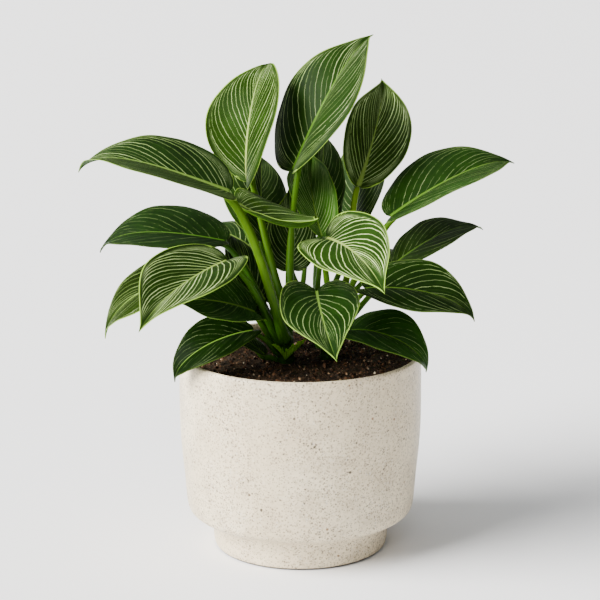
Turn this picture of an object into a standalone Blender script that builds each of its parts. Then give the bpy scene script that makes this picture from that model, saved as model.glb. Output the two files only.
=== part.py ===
"""Striped philodendron in a stoneware planter, in metres, +Z up.

Origin: centre of the pot's flat foot, on the surface it stands on. +Y points
away from the plant's front. The pot is one turned shell, the soil fills it to
8 mm below the rim, short stems stand in sockets in the soil, and every leaf is
a tapered petiole that carries a folded, drooping blade.
"""

import math

import bmesh
import bpy
import numpy as np

# ---------------------------------------------------------------- dimensions
GAP = 0.0004                 # clearance between touching pieces
POT_HEIGHT = 0.1502
POT_RADIUS = 0.0903          # widest, a little below the rim
RIM_RADIUS = 0.0900
RIM_INNER_RADIUS = 0.0857
FOOT_RADIUS = 0.0648
FOOT_HEIGHT = 0.0246         # the foot curves out under the body up to this
POT_FLOOR = 0.0110           # inside floor above the standing surface
# The inside wall from the floor up, as (radius, height), 5 to 6 mm in from the outside.
INNER_WALL = [(0.0590, POT_FLOOR), (0.0604, 0.0150), (0.0606, 0.0250), (0.0630, 0.0292), (0.0700, 0.0304),
              (0.0772, 0.0320), (0.0800, 0.0358), (0.0812, 0.0450), (0.0842, 0.0900), (RIM_INNER_RADIUS, 0.1470)]
POT_SEGMENTS = 56

SOIL_LEVEL = 0.1420          # at the wall, 8 mm below the rim
SOIL_CROWN = 0.0035          # the soil rises this much towards the middle
SOIL_SEGMENTS = 28

STEM_RADIUS = 0.0068         # at the soil
STEM_SOCKET = 0.0120         # depth of the stem's foot below the soil
STEM_HEIGHT = 0.0300         # above the soil

# Sheath at the foot of the front stem: two pointed wings that rise to the left
# and to the right of it, (reach from the stem's axis, rise, band at the middle).
SHEATH_STEM = "a"
SHEATH_FOOT = 0.0026         # its lowest point above the soil
SHEATH_LEFT = (0.0145, 0.0128, 0.0052, 40)
SHEATH_RIGHT = (0.0146, 0.0140, 0.0068, 76)
SHEATH_THICKNESS = 0.0009
SHEATH_STEPS = 7             # along each wing

BLADE_THICKNESS = 0.0008
BLADE_COLUMNS = 11           # stations from sinus to tip
BLADE_ROWS = 2               # stations from midrib to margin
SPINE_STEPS = 24

PETIOLE_TOP_RADIUS = 0.0019
PETIOLE_BASE_RADIUS = 0.0027
PETIOLE_SIDES = 6
PETIOLE_STEPS = 8
PETIOLE_FOLLOW = 0.45        # how much its top turns into the midrib's direction
PETIOLE_FOLLOW_LESS = {"01": 0.42, "03": 0.30, "11": -0.10}
# sideways lean (x, y) of a petiole where it leaves the stem
PETIOLE_SWAY = {"01": (-0.16, -0.10), "02": (-0.50, 0.0), "03": (-0.34, 1.02), "11": (0.50, 0.0)}

# Blade outlines, as fractions of the blade length:
# lobe length behind the petiole, lobe offset, station of the widest point,
# length of the drawn-out tip and the tip's half width there.
OUTLINES = {
    "ovate": (0.030, 0.085, 0.35, 0.19, 0.047),
    "broad": (0.055, 0.120, 0.36, 0.19, 0.048),
    "heart": (0.120, 0.150, 0.33, 0.19, 0.046),
}

# Stems: foot position (x, y) in mm and height above the soil in mm.
STEMS = {
    "a": (-11.0, -14.0, 34.0),
    "b": (21.0, -6.0, 30.0),
    "c": (-12.0, 17.0, 30.0),
    "d": (18.0, 25.0, 28.0),
}

# One row a leaf:
#   name: (stem, petiole's height on it in mm and its direction from the stem
#          in degrees, outline,
#          blade base (x, y, z) in mm,
#          heading, rise and roll of the blade at its base in degrees,
#          length in mm, half width / length,
#          droop from base to tip, extra hook at the tip, sideways sweep,
#          twist, fold of the left and right half, curl of both halves)
LEAVES = {
    "01": ("a", 21, -100, "ovate", (-51, -46, 278.5), -163, 24, 28, 124, 0.310, 34, 57, -39, -3, 20, 13, -3, 10),
    "02": ("a", 30, 75, "ovate", (-38.5, 26, 274), 56, 100, 38, 110, 0.350, 60, 36, 48, -50, 10, 31, -30, 47),
    "03": ("a", 33, -60, "ovate", (-3.5, 6, 285.5), 26, 67, 4, 129, 0.329, 27, 28, 21, -32, 25, 37, 30, 62),
    "04": ("d", 24, 15, "ovate", (43, 30.5, 268), 69, 38, -31, 107, 0.328, -19, 45, 12, -8, 42, 48, 5, -4),
    "05": ("d", 18, -40, "ovate", (67, 8, 249.5), -5, 39, -25, 115, 0.310, 46, 30, 26, -19, 21, 29, 32, 12),
    "06": ("b", 14, 20, "broad", (70.5, 32, 207.5), -20, 43, -29, 83, 0.313, 51, 41, 37, -9, 10, 21, 12, 23),
    "07": ("b", 20, -15, "broad", (48, -14, 200), -17, 9, -9, 91, 0.320, 37, 54, 5, -30, 26, 28, 17, 47),
    "08": ("b", 10, -50, "broad", (36.5, -28.5, 172), -41, 16, -15, 77, 0.317, 77, 56, 19, -15, 23, 30, 19, 35),
    "09": ("b", 26, -85, "heart", (19, -49.5, 245.5), -60, 2, -18, 98, 0.296, 23, -2, -21, -3, 21, 14, -14, 25),
    "10": ("b", 18, -120, "heart", (11.5, -51.5, 207), -86, -12, 1, 93, 0.309, 10, 4, 8, -13, 19, 19, 7, 23),
    "11": ("a", 31, 178, "heart", (-45.5, -1, 260), -33, -21, 13, 92, 0.309, -30, -20, -41, -2, 63, 17, 90, 15),
    "12": ("a", 20, 158, "ovate", (-56, 1, 232.5), -178, 13, 12, 106, 0.310, 29, 54, -18, 15, 24, 20, 33, 19),
    "13": ("a", 17, -137, "broad", (-52.5, -54, 230), -132, -7, -7, 105, 0.307, 17, 12, 13, 16, 18, 28, 35, -7),
    "14": ("c", 12, -150, "heart", (-82.5, 16.5, 203.5), -180, -9, 20, 94, 0.309, 59, 17, -1, 9, 18, 21, 18, 31),
    "15": ("a", 13, -176, "ovate", (-33.5, -22, 184.5), -141, 26, 29, 95, 0.311, 5, -20, 33, 27, 9, 23, -30, 17),
    "16": ("a", 8, -148, "ovate", (-34.5, -32.5, 173), -151, 1, 2, 77, 0.318, 52, 54, -18, 25, 25, 20, 46, 7),
    "17": ("c", 26, 88, "ovate", (-28.5, 34, 226), 96, 49, -43, 105, 0.330, 21, 20, -31, 21, 20, 15, 67, 54),
    "18": ("d", 28, -120, "ovate", (15.5, 11.5, 234), 111, 46, -1, 86, 0.314, 19, -10, -24, 32, 46, 49, 7, -24),
    "19": ("d", 26, 120, "heart", (16.5, 60, 235), 92, 73, -27, 94, 0.308, 47, 32, -31, 9, 26, 10, 11, 72),
    "20": ("d", 22, 80, "ovate", (42, 84, 228.5), 59, 75, 29, 93, 0.314, 23, 59, 49, -32, 12, 16, 30, 32),
    "21": ("c", 20, 172, "heart", (-27, 3, 187.5), 178, 61, 51, 70, 0.301, 63, 18, -56, -9, 23, 11, 2, 51),
    "22": ("d", 26, 175, "ovate", (-6.5, 17, 208), 94, 72, 0, 64, 0.300, 12, 12, 0, 0, 16, 16, 20, 20),
    "23": ("a", 2, -160, "ovate", (-27, -21, 152.5), 168, 40, 0, 52, 0.300, 35, 15, 0, 0, 15, 15, 20, 20),
    "24": ("c", 22, 135, "ovate", (-35, 54, 213), 132, 25, 0, 104, 0.310, 55, 25, 8, 0, 18, 16, 30, 30),
    "25": ("c", 20, 38, "heart", (4, 72, 206), 88, 12, 5, 102, 0.300, 38, 20, -8, 0, 16, 20, 25, 30),
    "26": ("d", 15, 42, "ovate", (52, 64, 194), 58, 20, 0, 98, 0.310, 50, 25, 10, 0, 18, 18, 28, 28),
}


# --------------------------------------------------------------------- blade
def bezier(p0, p1, p2, p3, t):
    t = np.asarray(t)[:, None]
    p0, p1, p2, p3 = (np.array(p, float) for p in (p0, p1, p2, p3))
    return (1 - t) ** 3 * p0 + 3 * (1 - t) ** 2 * t * p1 + 3 * (1 - t) * t * t * p2 + t**3 * p3


def half_outline(kind, half_width):
    """Margin of one half from the petiole round the lobe to the tip, (along, across)."""
    lobe, offset, widest, tip, tip_w = OUTLINES[kind]
    w = half_width
    a = bezier((0, 0), (-0.55 * lobe, 0.167 * offset), (-lobe, 0.5 * offset), (-lobe, offset), np.linspace(0, 1, 13))
    b = bezier((-lobe, offset), (-lobe, offset + 0.55 * (w - offset)),
               (widest - 0.55 * (widest + lobe), w), (widest, w), np.linspace(0, 1, 31))
    c = bezier((widest, w), (widest + 0.45 * (1 - widest), w), (1 - tip, tip_w), (1, 0), np.linspace(0, 1, 61))
    return np.concatenate([a, b[1:], c[1:]])


def spine(leaf):
    """The midrib's points with the blade's along, left and up directions at each."""
    base, heading, rise, roll, length = leaf[4:9]
    droop, hook, sweep, twist = leaf[10:14]
    az, el, ro = map(math.radians, (heading, rise, roll))
    t = np.array([math.cos(el) * math.cos(az), math.cos(el) * math.sin(az), math.sin(el)])
    n = np.array([-math.sin(el) * math.cos(az), -math.sin(el) * math.sin(az), math.cos(el)])
    n = n * math.cos(ro) + np.cross(n, t) * math.sin(ro)
    b = np.cross(n, t)
    points, frames = [np.array(base) / 1000], [(t, b, n)]
    bend = lambda u: math.radians(droop * u + hook * u**4)
    for i in range(SPINE_STEPS):
        u0, u1 = i / SPINE_STEPS, (i + 1) / SPINE_STEPS
        d, s, w = bend(u1) - bend(u0), math.radians(sweep) / SPINE_STEPS, math.radians(twist) / SPINE_STEPS
        t1, n1 = t * math.cos(d) - n * math.sin(d), n * math.cos(d) + t * math.sin(d)
        t2, b2 = t1 * math.cos(s) + b * math.sin(s), b * math.cos(s) - t1 * math.sin(s)
        step = (t + t2) / np.linalg.norm(t + t2)
        points.append(points[-1] + step * length / 1000 / SPINE_STEPS)
        t, n, b = t2, n1 * math.cos(w) + b2 * math.sin(w), b2 * math.cos(w) - n1 * math.sin(w)
        frames.append((t, b, n))
    return np.array(points), np.array(frames)


def place(leaf, line, along, across, side):
    """World points of the flat pattern's points, and the blade's up direction there."""
    points, frames = line
    length, half_width = leaf[8] / 1000, leaf[9]
    fold, curl = (leaf[14], leaf[16]) if side > 0 else (leaf[15], leaf[17])
    fold, k = math.radians(fold), math.radians(curl) / half_width
    u = np.clip(along, 0, 1) * SPINE_STEPS
    i = np.minimum(u.astype(int), SPINE_STEPS - 1)
    f = (u - i)[:, None]
    at = points[i] * (1 - f) + points[i + 1] * f
    t, b, n = ((frames[i, j] * (1 - f) + frames[i + 1, j] * f) for j in range(3))
    at = at + np.minimum(along, 0)[:, None] * length * t
    if abs(k) < 1e-3:
        out, up = across * math.cos(fold), across * math.sin(fold)
    else:
        out = (math.sin(fold) - np.sin(fold - k * across)) / k
        up = (np.cos(fold - k * across) - math.cos(fold)) / k
    tilt = fold - k * across
    normal = n * np.cos(tilt)[:, None] - side * b * np.sin(tilt)[:, None]
    normal /= np.linalg.norm(normal, axis=1)[:, None]
    return at + length * (side * out[:, None] * b + up[:, None] * n), normal


def blade_mesh(name, leaf):
    line = spine(leaf)
    edge = half_outline(leaf[3], leaf[9])
    run = np.concatenate([[0], np.cumsum(np.linalg.norm(np.diff(edge, axis=0), axis=1))])
    s = 0.07 + 0.93 * np.linspace(0, 1, BLADE_COLUMNS + 1)
    fan = 0.30
    mid = np.clip((s - fan) / (1 - fan), 0, 1) ** 1.25
    end = np.stack([np.interp(s * run[-1], run, edge[:, k]) for k in range(2)], 1)
    bm = bmesh.new()
    half = BLADE_THICKNESS / 2
    layers = []
    for face in (1, -1):                      # upper skin, lower skin
        rib, halves = [], {}
        p, q = place(leaf, line, mid, np.zeros(len(mid)), 1)
        q2 = place(leaf, line, mid, np.zeros(len(mid)), -1)[1]
        q = (q + q2) / np.linalg.norm(q + q2, axis=1)[:, None]
        for i, m in enumerate(mid):
            if i and m == mid[i - 1]:
                rib.append(rib[-1])
            else:
                rib.append(bm.verts.new(p[i] + face * half * q[i]))
        for side in (1, -1):
            rows = []
            for r in range(1, BLADE_ROWS + 1):
                f = r / BLADE_ROWS
                flat = np.stack([mid * (1 - f) + end[:, 0] * f, end[:, 1] * f], 1)
                flat[:, 0] += 0.10 * f * (f - 1) * (1 - s) * (s > 0.2)
                pts, nrm = place(leaf, line, flat[:, 0], flat[:, 1], side)
                rows.append([bm.verts.new(pts[i] + face * half * nrm[i]) for i in range(len(s) - 1)] + [rib[-1]])
            halves[side] = rows
        layers.append((rib, halves))
        for side in (1, -1):
            grid = [rib] + halves[side]
            for r in range(BLADE_ROWS):
                for i in range(len(s) - 1):
                    quad = [grid[r][i], grid[r + 1][i], grid[r + 1][i + 1], grid[r][i + 1]]
                    loop = [v for k, v in enumerate(quad) if v not in quad[:k]]
                    if side * face > 0:
                        loop.reverse()
                    if len(loop) > 2:
                        bm.faces.new(loop)
    (rib_u, up), (rib_d, down) = layers
    for side in (1, -1):
        def boundary(rib, halves):
            return [rib[0]] + [row[0] for row in halves[side]] + halves[side][-1][1:]
        upper, lower = boundary(rib_u, up), boundary(rib_d, down)
        for i in range(len(upper) - 1):
            loop = [upper[i], upper[i + 1], lower[i + 1], lower[i]]
            if side < 0:
                loop.reverse()
            bm.faces.new(loop)
    bmesh.ops.triangulate(bm, faces=bm.faces[:])
    bmesh.ops.recalc_face_normals(bm, faces=bm.faces[:])
    mesh = bpy.data.meshes.new(name)
    bm.to_mesh(mesh)
    bm.free()
    return mesh


# ------------------------------------------------------------------- petiole
def unit(v):
    return v / np.linalg.norm(v)


def tube(name, path, radii, sides):
    """Closed tube along a path, its ring turned as little as possible."""
    bm = bmesh.new()
    tangents = np.gradient(path, axis=0)
    tangents /= np.linalg.norm(tangents, axis=1)[:, None]
    x = unit(np.cross(tangents[0], [0.3, 0.9, 0.2]))
    rings = []
    for p, t, r in zip(path, tangents, radii):
        x = unit(x - t * np.dot(x, t))
        y = np.cross(t, x)
        rings.append([bm.verts.new(p + r * (x * math.cos(a) + y * math.sin(a)))
                      for a in np.linspace(0, 2 * math.pi, sides, endpoint=False)])
    for lower, upper in zip(rings, rings[1:]):
        for i in range(sides):
            j = (i + 1) % sides
            bm.faces.new([lower[i], lower[j], upper[j], upper[i]])
    bm.faces.new(rings[0][::-1])
    bm.faces.new(rings[-1])
    bmesh.ops.recalc_face_normals(bm, faces=bm.faces[:])
    mesh = bpy.data.meshes.new(name)
    bm.to_mesh(mesh)
    bm.free()
    return mesh


def petiole_path(leaf, follow, sway):
    """From the side of its stem, up and outward, to just under the blade's base."""
    stem_x, stem_y, stem_h = STEMS[leaf[0]]
    height = leaf[1] / 1000
    points, frames = spine(leaf)
    t, b, n = frames[0]
    target = points[0]
    axis = np.array([stem_x / 1000, stem_y / 1000, SOIL_LEVEL + SOIL_CROWN + height])
    turn = math.radians(leaf[2])
    out = np.array([math.cos(turn), math.sin(turn), 0])
    start = axis + out * (stem_radius(height) + PETIOLE_BASE_RADIUS * 0.9 + GAP)
    chord = unit(target - start)
    arrive = unit(follow * t + (1 - follow) * chord)
    arrive = unit(arrive + n * max(0.0, 0.25 - np.dot(arrive, n)))
    end = target - n * (BLADE_THICKNESS / 2 + GAP + PETIOLE_TOP_RADIUS) - t * 0.0015
    reach = np.linalg.norm(end - start)
    leave = unit(0.5 * out + np.array([sway[0], sway[1], 1.0]))
    return bezier(start, start + leave * 0.38 * reach, end - arrive * 0.28 * reach, end,
                  np.linspace(0, 1, PETIOLE_STEPS + 1))


def stem_radius(height):
    return STEM_RADIUS - 0.0020 * height / STEM_HEIGHT


# ------------------------------------------------------------- turned pieces
def turned(name, profile, segments):
    """Solid of revolution about +Z. The profile runs from the axis, round the
    section and back to the axis, with its outside on the right."""
    bm = bmesh.new()
    rings = []
    for r, z in profile:
        if r < 1e-6:
            rings.append([bm.verts.new((0, 0, z))])
            continue
        ring = []
        for i in range(segments):
            a = 2 * math.pi * i / segments
            ring.append(bm.verts.new((r * math.cos(a), r * math.sin(a), z)))
        rings.append(ring)
    for one, two in zip(rings, rings[1:]):
        for i in range(segments):
            j = (i + 1) % segments
            loop = [one[i % len(one)], one[j % len(one)], two[j % len(two)], two[i % len(two)]]
            loop = [v for k, v in enumerate(loop) if v not in loop[:k]]
            bm.faces.new(loop)
    bmesh.ops.recalc_face_normals(bm, faces=bm.faces[:])
    mesh = bpy.data.meshes.new(name)
    bm.to_mesh(mesh)
    bm.free()
    return mesh


def pot_profile():
    foot = [(0, 0), (0.0630, 0), (FOOT_RADIUS, 0.0022), (FOOT_RADIUS + 0.0008, 0.0060),
            (FOOT_RADIUS + 0.0011, FOOT_HEIGHT - 0.0110), (FOOT_RADIUS + 0.0018, FOOT_HEIGHT - 0.0065),
            (FOOT_RADIUS + 0.0038, FOOT_HEIGHT - 0.0026), (FOOT_RADIUS + 0.0078, FOOT_HEIGHT)]
    body = [(0.0775, 0.0263), (0.0815, 0.0279), (0.0836, 0.0297), (0.0847, 0.0322), (0.0853, 0.0352), (0.0859, 0.0410),
            (0.0872, 0.0580), (0.0888, 0.0735), (0.0898, 0.0880), (POT_RADIUS, 0.1020),
            (POT_RADIUS, 0.1200), (RIM_RADIUS, 0.1465), (0.0894, 0.1492), (0.0880, POT_HEIGHT)]
    inside = [(0.0868, 0.1498)] + [(r, z) for r, z in INNER_WALL[::-1]] + [(0, POT_FLOOR)]
    return foot + body + inside


def inner_radius(z):
    return np.interp(z, [w[1] for w in INNER_WALL], [w[0] for w in INNER_WALL])


def soil_profile():
    side = [(r - 0.0010, z + 0.0007) for r, z in INNER_WALL[:-1]]
    edge = inner_radius(SOIL_LEVEL) - 0.0009
    top = [(edge, SOIL_LEVEL), (0.078, SOIL_LEVEL + 0.0006), (0.066, SOIL_LEVEL + 0.0014),
           (0.050, SOIL_LEVEL + 0.0024), (0.034, SOIL_LEVEL + 0.0031), (0.017, SOIL_LEVEL + SOIL_CROWN),
           (0, SOIL_LEVEL + SOIL_CROWN)]
    return [(0, POT_FLOOR + 0.0007)] + side + top


# --------------------------------------------------------------------- build
def material(name, colour, roughness, metallic=0.0, coat=0.0):
    mat = bpy.data.materials.new(name)
    mat.use_nodes = True
    shader = mat.node_tree.nodes["Principled BSDF"]
    shader.inputs["Base Color"].default_value = (*colour, 1)
    shader.inputs["Roughness"].default_value = roughness
    shader.inputs["Metallic"].default_value = metallic
    shader.inputs["Coat Weight"].default_value = coat
    mat.diffuse_color = (*colour, 1)
    return mat


def add(name, mesh, mat, smooth=True):
    obj = bpy.data.objects.new(name, mesh)
    bpy.context.scene.collection.objects.link(obj)
    mesh.materials.append(mat)
    if smooth:
        mesh.shade_smooth()
        mesh.set_sharp_from_angle(angle=math.radians(40))
    return obj


def stem_mesh(name, x, y, height):
    path = np.array([[x, y, SOIL_LEVEL - STEM_SOCKET + k] for k in
                     (0, STEM_SOCKET, STEM_SOCKET + height * 0.5, STEM_SOCKET + height * 0.85, STEM_SOCKET + height)])
    r = STEM_RADIUS
    return tube(name, path, [r * 0.8, r, r - 0.001, r - 0.002, r * 0.45], 10)


def sheath_mesh(name, x, y):
    """Flared collar round the front of a stem, its ends drawn out into points."""
    bm = bmesh.new()
    rings = []
    for i in range(-SHEATH_STEPS, SHEATH_STEPS + 1):
        f = i / SHEATH_STEPS
        reach, rise, band, round_stem = SHEATH_LEFT if f < 0 else SHEATH_RIGHT
        g = abs(f)
        turn = math.radians(round_stem) * f
        near = STEM_RADIUS + GAP + (reach - STEM_RADIUS - GAP) * g**1.5
        low = SOIL_LEVEL + SOIL_CROWN + SHEATH_FOOT + rise * g**1.15
        high = low + 0.0006 + band * (1 - g**2.5)
        flare = 0.30 * (high - low)
        ring = []
        for r, z in ((near, low), (near + SHEATH_THICKNESS, low),
                     (near + SHEATH_THICKNESS + flare, high), (near + flare, high)):
            ring.append(bm.verts.new((x + r * math.sin(turn), y - r * math.cos(turn), z)))
        rings.append(ring)
    for one, two in zip(rings, rings[1:]):
        for k in range(4):
            bm.faces.new([one[k], one[(k + 1) % 4], two[(k + 1) % 4], two[k]])
    bm.faces.new(rings[0])
    bm.faces.new(rings[-1][::-1])
    bmesh.ops.triangulate(bm, faces=bm.faces[:])
    bmesh.ops.recalc_face_normals(bm, faces=bm.faces[:])
    mesh = bpy.data.meshes.new(name)
    bm.to_mesh(mesh)
    bm.free()
    return mesh


def main():
    for obj in list(bpy.data.objects):
        bpy.data.objects.remove(obj, do_unlink=True)

    add("pot", turned("pot", pot_profile(), POT_SEGMENTS), material("pot_stoneware", (0.76, 0.73, 0.66), 0.45))
    soil = add("soil", turned("soil", soil_profile(), SOIL_SEGMENTS), material("potting_soil", (0.035, 0.022, 0.014), 0.95))

    for key, (x, y, height) in STEMS.items():
        x, y, height = x / 1000, y / 1000, height / 1000
        add("stem_" + key, stem_mesh("stem_" + key, x, y, height), material("stem_%s_green" % key, (0.16, 0.27, 0.03), 0.5))
        socket = tube("socket_" + key, np.array([[x, y, SOIL_LEVEL - STEM_SOCKET - 0.0006], [x, y, SOIL_LEVEL + 0.02]]),
                      [STEM_RADIUS + 0.0007, STEM_RADIUS + 0.0007], 12)
        cutter = bpy.data.objects.new("socket_" + key, socket)
        bpy.context.scene.collection.objects.link(cutter)
        cutter.hide_render = True
        cutter.display_type = "WIRE"
        cut = soil.modifiers.new("socket_" + key, "BOOLEAN")
        cut.operation = "DIFFERENCE"
        cut.object = cutter
        cut.solver = "EXACT"

    x, y, height = STEMS[SHEATH_STEM]
    add("stem_a_sheath", sheath_mesh("stem_a_sheath", x / 1000, y / 1000),
        material("stem_a_sheath_green", (0.16, 0.33, 0.03), 0.45))

    for key, leaf in LEAVES.items():
        blade = "leaf_%s_blade" % key
        petiole = "leaf_%s_petiole" % key
        add(blade, blade_mesh(blade, leaf), material(blade + "_green", (0.045, 0.13, 0.02), 0.35, coat=0.3))
        path = petiole_path(leaf, PETIOLE_FOLLOW_LESS.get(key, PETIOLE_FOLLOW), PETIOLE_SWAY.get(key, (0.0, 0.0)))
        radii = np.linspace(PETIOLE_BASE_RADIUS, PETIOLE_TOP_RADIUS, len(path))
        add(petiole, tube(petiole, path, radii, PETIOLE_SIDES), material(petiole + "_green", (0.20, 0.36, 0.03), 0.45))


main()
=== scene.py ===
"""Striped philodendron in a speckled stoneware planter: fine surfaces, materials, light and camera.

Metres, +Z up, origin at the centre of the pot's flat foot, +Y away from the camera.
"""

import math

import bpy
import numpy as np
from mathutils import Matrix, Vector

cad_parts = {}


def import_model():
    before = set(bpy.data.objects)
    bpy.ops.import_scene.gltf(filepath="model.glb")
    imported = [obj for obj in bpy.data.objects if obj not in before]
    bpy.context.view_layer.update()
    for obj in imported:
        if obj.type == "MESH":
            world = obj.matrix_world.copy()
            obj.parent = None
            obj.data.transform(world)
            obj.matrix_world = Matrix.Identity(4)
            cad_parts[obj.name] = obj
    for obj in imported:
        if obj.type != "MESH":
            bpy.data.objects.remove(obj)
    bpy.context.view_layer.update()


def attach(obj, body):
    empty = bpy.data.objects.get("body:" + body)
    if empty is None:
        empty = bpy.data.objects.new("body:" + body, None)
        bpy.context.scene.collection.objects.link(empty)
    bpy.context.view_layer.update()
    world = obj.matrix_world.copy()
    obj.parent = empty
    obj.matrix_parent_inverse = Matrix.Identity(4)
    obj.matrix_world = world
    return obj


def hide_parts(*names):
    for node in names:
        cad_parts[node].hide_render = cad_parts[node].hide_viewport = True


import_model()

# ------------------------------------------------------------------ dimensions
POT_HEIGHT = 0.1502
POT_RADIUS = 0.0903
RIM_RADIUS = 0.0900
RIM_INNER_RADIUS = 0.0857
FOOT_RADIUS = 0.0648
FOOT_HEIGHT = 0.0246
POT_FLOOR = 0.0110
# The inside wall from the floor up, as (radius, height).
INNER_WALL = [(0.0590, POT_FLOOR), (0.0604, 0.0150), (0.0606, 0.0250), (0.0630, 0.0292), (0.0700, 0.0304),
              (0.0772, 0.0320), (0.0800, 0.0358), (0.0812, 0.0450), (0.0842, 0.0900), (RIM_INNER_RADIUS, 0.1470)]
SOIL_LEVEL = 0.1420
SOIL_CROWN = 0.0035
GAP = 0.0004
STEM_RADIUS = 0.0068
STEM_SOCKET = 0.0120
STEM_HEIGHT = 0.0300
SHEATH_FOOT = 0.0026
SHEATH_LEFT = (0.0145, 0.0128, 0.0052, 40)
SHEATH_RIGHT = (0.0146, 0.0140, 0.0068, 76)
SHEATH_THICKNESS = 0.0009

SPINE_STEPS = 72
BLADE_HALF_THICKNESS = 0.00034
COLUMNS = 104                # stations from the sinus to the tip
FAN = 0.30                   # stations below this one spread from the petiole

# Blade outlines as fractions of the blade length: lobe length, lobe offset,
# widest station, tip length, half width where the tip begins.
OUTLINES = {
    "ovate": (0.030, 0.085, 0.35, 0.19, 0.047),
    "broad": (0.055, 0.120, 0.36, 0.19, 0.048),
    "heart": (0.120, 0.150, 0.33, 0.19, 0.046),
}

STEMS = {
    "a": (-11.0, -14.0, 34.0),
    "b": (21.0, -6.0, 30.0),
    "c": (-12.0, 17.0, 30.0),
    "d": (18.0, 25.0, 28.0),
}

# One row a leaf:
#   name: (stem, petiole's height on it in mm and its direction from the stem
#          in degrees, outline,
#          blade base (x, y, z) in mm,
#          heading, rise and roll of the blade at its base in degrees,
#          length in mm, half width / length,
#          droop from base to tip, extra hook at the tip, sideways sweep,
#          twist, fold of the left and right half, curl of both halves)
LEAVES = {
    "01": ("a", 21, -100, "ovate", (-51, -46, 278.5), -163, 24, 28, 124, 0.310, 34, 57, -39, -3, 20, 13, -3, 10),
    "02": ("a", 30, 75, "ovate", (-38.5, 26, 274), 56, 100, 38, 110, 0.350, 60, 36, 48, -50, 10, 31, -30, 47),
    "03": ("a", 33, -60, "ovate", (-3.5, 6, 285.5), 26, 67, 4, 129, 0.329, 27, 28, 21, -32, 25, 37, 30, 62),
    "04": ("d", 24, 15, "ovate", (43, 30.5, 268), 69, 38, -31, 107, 0.328, -19, 45, 12, -8, 42, 48, 5, -4),
    "05": ("d", 18, -40, "ovate", (67, 8, 249.5), -5, 39, -25, 115, 0.310, 46, 30, 26, -19, 21, 29, 32, 12),
    "06": ("b", 14, 20, "broad", (70.5, 32, 207.5), -20, 43, -29, 83, 0.313, 51, 41, 37, -9, 10, 21, 12, 23),
    "07": ("b", 20, -15, "broad", (48, -14, 200), -17, 9, -9, 91, 0.320, 37, 54, 5, -30, 26, 28, 17, 47),
    "08": ("b", 10, -50, "broad", (36.5, -28.5, 172), -41, 16, -15, 77, 0.317, 77, 56, 19, -15, 23, 30, 19, 35),
    "09": ("b", 26, -85, "heart", (19, -49.5, 245.5), -60, 2, -18, 98, 0.296, 23, -2, -21, -3, 21, 14, -14, 25),
    "10": ("b", 18, -120, "heart", (11.5, -51.5, 207), -86, -12, 1, 93, 0.309, 10, 4, 8, -13, 19, 19, 7, 23),
    "11": ("a", 31, 178, "heart", (-45.5, -1, 260), -33, -21, 13, 92, 0.309, -30, -20, -41, -2, 63, 17, 90, 15),
    "12": ("a", 20, 158, "ovate", (-56, 1, 232.5), -178, 13, 12, 106, 0.310, 29, 54, -18, 15, 24, 20, 33, 19),
    "13": ("a", 17, -137, "broad", (-52.5, -54, 230), -132, -7, -7, 105, 0.307, 17, 12, 13, 16, 18, 28, 35, -7),
    "14": ("c", 12, -150, "heart", (-82.5, 16.5, 203.5), -180, -9, 20, 94, 0.309, 59, 17, -1, 9, 18, 21, 18, 31),
    "15": ("a", 13, -176, "ovate", (-33.5, -22, 184.5), -141, 26, 29, 95, 0.311, 5, -20, 33, 27, 9, 23, -30, 17),
    "16": ("a", 8, -148, "ovate", (-34.5, -32.5, 173), -151, 1, 2, 77, 0.318, 52, 54, -18, 25, 25, 20, 46, 7),
    "17": ("c", 26, 88, "ovate", (-28.5, 34, 226), 96, 49, -43, 105, 0.330, 21, 20, -31, 21, 20, 15, 67, 54),
    "18": ("d", 28, -120, "ovate", (15.5, 11.5, 234), 111, 46, -1, 86, 0.314, 19, -10, -24, 32, 46, 49, 7, -24),
    "19": ("d", 26, 120, "heart", (16.5, 60, 235), 92, 73, -27, 94, 0.308, 47, 32, -31, 9, 26, 10, 11, 72),
    "20": ("d", 22, 80, "ovate", (42, 84, 228.5), 59, 75, 29, 93, 0.314, 23, 59, 49, -32, 12, 16, 30, 32),
    "21": ("c", 20, 172, "heart", (-27, 3, 187.5), 178, 61, 51, 70, 0.301, 63, 18, -56, -9, 23, 11, 2, 51),
    "22": ("d", 26, 175, "ovate", (-6.5, 17, 208), 94, 72, 0, 64, 0.300, 12, 12, 0, 0, 16, 16, 20, 20),
    "23": ("a", 2, -160, "ovate", (-27, -21, 152.5), 168, 40, 0, 52, 0.300, 35, 15, 0, 0, 15, 15, 20, 20),
    "24": ("c", 22, 135, "ovate", (-35, 54, 213), 132, 25, 0, 104, 0.310, 55, 25, 8, 0, 18, 16, 30, 30),
    "25": ("c", 20, 38, "heart", (4, 72, 206), 88, 12, 5, 102, 0.300, 38, 20, -8, 0, 16, 20, 25, 30),
    "26": ("d", 15, 42, "ovate", (52, 64, 194), 58, 20, 0, 98, 0.310, 50, 25, 10, 0, 18, 18, 28, 28),
}

# How far forward of its root a side vein runs, by its root's station.
VEIN_ROOTS = [-0.50, 0.00, 0.25, 0.33, 0.38, 0.45, 0.50, 0.57, 0.62, 0.70, 0.80, 0.90, 1.00]
VEIN_LEAN = {
    "heart": [0, 0, 0, 0, 0.09, 0.24, 0.30, 0.42, 0.48, 0.55, 0.60, 0.60, 0.60],
    "broad": [0, 0, 0, -0.01, 0.06, 0.13, 0.17, 0.22, 0.26, 0.32, 0.40, 0.40, 0.40],
    "ovate": [0, 0, 0, -0.01, 0.05, 0.12, 0.16, 0.19, 0.22, 0.26, 0.32, 0.30, 0.30],
}
VEIN_TURN = ([-0.5, 0.0, 0.2, 0.4, 0.5, 0.6, 1.0], [0.10, 0.10, 0.13, 0.12, 0.08, 0.05, 0.05])

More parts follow.
